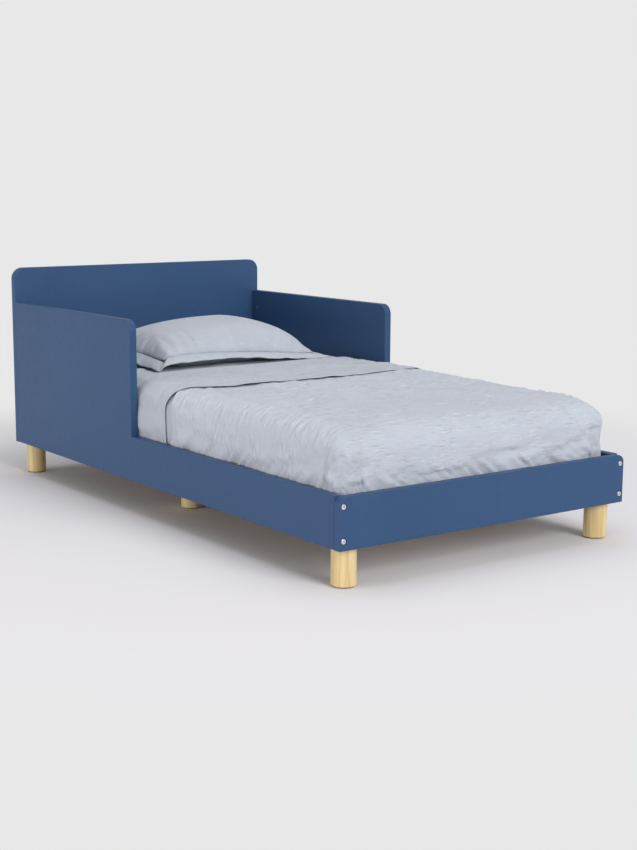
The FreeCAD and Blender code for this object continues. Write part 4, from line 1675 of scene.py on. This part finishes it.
    def border(self, seam: np.ndarray) -> tuple[bpy.types.Object, np.ndarray]:
        """The flange from the seam out to its hemmed edge, and the line of its stitches.

        Args:
            seam: The seam's points in order.

        Returns:
            The flange and the stitch line.
        """
        count = len(seam)
        places = np.concatenate([
            np.stack([np.linspace(-1, 1, self.columns)[:-1], np.full(self.columns - 1, -1.0)], 1),
            np.stack([np.full(self.rows - 1, 1.0), np.linspace(-1, 1, self.rows)[:-1]], 1),
            np.stack([np.linspace(1, -1, self.columns)[:-1], np.full(self.columns - 1, 1.0)], 1),
            np.stack([np.full(self.rows - 1, -1.0), np.linspace(1, -1, self.rows)[:-1]], 1),
        ])
        side = np.repeat([0, 1, 2, 3], [self.columns - 1, self.rows - 1, self.columns - 1, self.rows - 1])
        share = np.where(side % 2 == 0, (places[:, 0] + 1) / 2, (places[:, 1] + 1) / 2)
        outer = np.empty((count, 3))
        reach = self.half + self.flange
        corner = (np.abs(places[:, 0]) * np.abs(places[:, 1])) ** 30
        bow_x = 1 - self.bow[0] * (1 - places[:, 1] ** 2)
        bow_y = 1 - self.bow[1] * (1 - places[:, 0] ** 2)
        outer[:, 0] = self.centre[0] + places[:, 0] * reach[0] * bow_x * (1 - 0.006 * corner)
        outer[:, 1] = self.centre[1] + places[:, 1] * reach[1] * bow_y * (1 - 0.008 * corner)
        levels = np.stack([self.flange_level(number, share) for number in range(4)])
        outer[:, 2] = levels[side, np.arange(count)]
        run = np.concatenate([[0.0], np.cumsum(np.linalg.norm(np.diff(outer, axis=0), axis=1))])
        waves = sum(ripple.lift(run, run, self.seed) for ripple in self.flange_waves)
        outer[:, 2] = np.maximum(outer[:, 2] + waves, self.low[2] + 0.0002 + self.flange_thickness)
        steps = np.linspace(0.0, 1.0, 9)[:, None, None]
        middle = np.array([self.centre[0], self.centre[1], 0.0])
        inner = seam + (seam - middle) * np.array([-0.012, -0.016, 0.0])
        band = inner[None] * (1 - steps) + outer[None] * steps
        droop = 4 * steps[..., 0] * (1 - steps[..., 0])
        band[..., 2] += droop * (self.droop + self.droop_wave.lift(run, run, self.seed)[None])
        from_seam = np.broadcast_to(steps[..., 0] * self.flange, (9, count))
        flat = np.stack([np.broadcast_to(run, (9, count)), from_seam], -1)
        wrapped = np.concatenate([band, band[:, :1]], axis=1)
        flat = np.concatenate([flat, flat[:, :1] + (run[-1], 0)], axis=1)
        fine = refine_axis(refine_axis(wrapped, 17, 0), 2 * count + 1, 1)
        fine_flat = refine_axis(refine_axis(flat, 17, 0), 2 * count + 1, 1)
        return self.flange_cloth(fine, fine_flat), fine[3, :-1] + (0.0, 0.0, 0.0003)

    def flange_cloth(self, fine: np.ndarray, flat: np.ndarray) -> bpy.types.Object:
        """The flange as a closed ring of cloth with its thickness."""
        rows, columns = fine.shape[:2]
        number = np.arange(rows * (columns - 1)).reshape(rows, columns - 1)
        number = np.concatenate([number, number[:, :1]], axis=1)
        faces = [
            (int(number[r + 1, c]), int(number[r + 1, c + 1]), int(number[r, c + 1]), int(number[r, c]))
            for r in range(rows - 1)
            for c in range(columns - 1)
        ]
        points = fine[:, :-1].reshape(-1, 3)
        places = flat[:, :-1].reshape(-1, 2)
        made = mesh_object("pillow_sham_flange", points, faces, places, self.finishes.sham_cotton)
        return solid_cloth(made, self.flange_thickness)


# Studio


@dataclass(frozen=True)
class Studio:
    """Pale floor that runs out into the pale surround, soft light, and the camera."""

    surround: float = 0.806
    surround_light: float = 0.50
    floor_reach: float = 60.0
    floor_colour: Colour = (0.79, 0.775, 0.80, 1.0)
    lamps: tuple[tuple[str, tuple[float, float, float], tuple[float, float], float], ...] = (
        ("overhead", (0.1, 0.0, 3.2), (2.6, 2.6), 26.0),
        ("front", (0.3, -9.0, 4.6), (4.6, 4.6), 590.0),
        ("low_left", (-3.6, 0.1, 0.42), (3.6, 0.6), 50.0),
    )
    fade_start: float = 0.95
    fade_end: float = 1.7
    camera_place: tuple[float, float, float] = (-1.90483, -2.71040, 0.73715)
    camera_pitch: float = 90.0 - 9.57
    camera_heading: float = -34.52
    lens: float = 61.44
    sensor: float = 36.0
    sideways_shift: float = 0.0536

    def build(self) -> None:
        """Makes the floor, the light and the camera."""
        scene = bpy.context.scene
        scene.view_settings.view_transform = "Standard"
        world = bpy.data.worlds.new("surround")
        world.use_nodes = True
        tree = world.node_tree
        seen = tree.nodes["Background"]
        seen.inputs["Color"].default_value = grey(self.surround)
        lighting = tree.nodes.new("ShaderNodeBackground")
        lighting.inputs["Color"].default_value = grey(self.surround_light)
        path = tree.nodes.new("ShaderNodeLightPath")
        choice = tree.nodes.new("ShaderNodeMixShader")
        tree.links.new(path.outputs["Is Camera Ray"], choice.inputs[0])
        tree.links.new(lighting.outputs[0], choice.inputs[1])
        tree.links.new(seen.outputs[0], choice.inputs[2])
        tree.links.new(choice.outputs[0], tree.nodes["World Output"].inputs["Surface"])
        scene.world = world
        self.floor()
        for name, place, size, power in self.lamps:
            self.lamp(name, place, size, power)
        self.camera()
        LOG.info("studio ready")

    def floor(self) -> bpy.types.Object:
        """The floor, which blends into the surround far away."""
        graph = ShaderGraph("studio_floor", PatternSpace.BOARD)
        distance = graph.add("ShaderNodeVectorMath", {0: graph.place})
        distance.operation = "LENGTH"
        share = graph.remap(distance.outputs["Value"], self.fade_start, self.fade_end, 0.0, 1.0)
        glow = graph.add("ShaderNodeEmission", {"Color": grey(self.surround)})
        material = graph.finish(Base_Color=self.floor_colour, Roughness=0.9, Specular_IOR_Level=0.0)
        blend = graph.add("ShaderNodeMixShader", {0: share, 1: graph.shader.outputs[0], 2: glow.outputs[0]})
        graph.tree.links.new(blend.outputs[0], graph.tree.nodes["Material Output"].inputs["Surface"])
        corners = np.array([(-1, -1, 0), (1, -1, 0), (1, 1, 0), (-1, 1, 0)]) * self.floor_reach
        return mesh_object("floor", corners, [(0, 1, 2, 3)], corners[:, :2], material)

    def lamp(self, name: str, place: Sequence[float], size: Sequence[float], power: float) -> None:
        """Adds a large soft lamp that points at the bed.

        Args:
            name: Its name.
            place: Where it hangs.
            size: Its width and height.
            power: Its power.
        """
        light = bpy.data.lights.new(name, "AREA")
        light.shape = "RECTANGLE"
        light.size, light.size_y = size
        light.energy = power
        made = bpy.data.objects.new(name, light)
        made.location = place
        made.rotation_euler = (Vector((0.0, 0.0, 0.2)) - Vector(place)).to_track_quat("-Z", "Y").to_euler()
        made.visible_camera = False
        bpy.context.scene.collection.objects.link(made)

    def camera(self) -> None:
        """Adds the camera and makes it the scene's."""
        lens = bpy.data.cameras.new("camera")
        lens.lens = self.lens
        lens.sensor_width = self.sensor
        lens.shift_x = self.sideways_shift
        made = bpy.data.objects.new("camera", lens)
        made.location = self.camera_place
        made.rotation_euler = (math.radians(self.camera_pitch), 0.0, math.radians(self.camera_heading))
        bpy.context.scene.collection.objects.link(made)
        bpy.context.scene.camera = made


def main() -> None:
    """Builds the bed's pieces in order and reports each."""
    logging.basicConfig(level=logging.INFO, format="%(name)s: %(message)s")
    finishes = Finishes.make()
    BedFrame(finishes).dress()
    Mattress(finishes).build()
    FittedSheet(finishes).build()
    Coverlet(finishes).build()
    TopSheet(finishes).build()
    Pillow(finishes).build()
    Studio().build()


if __name__ == "__main__":
    main()
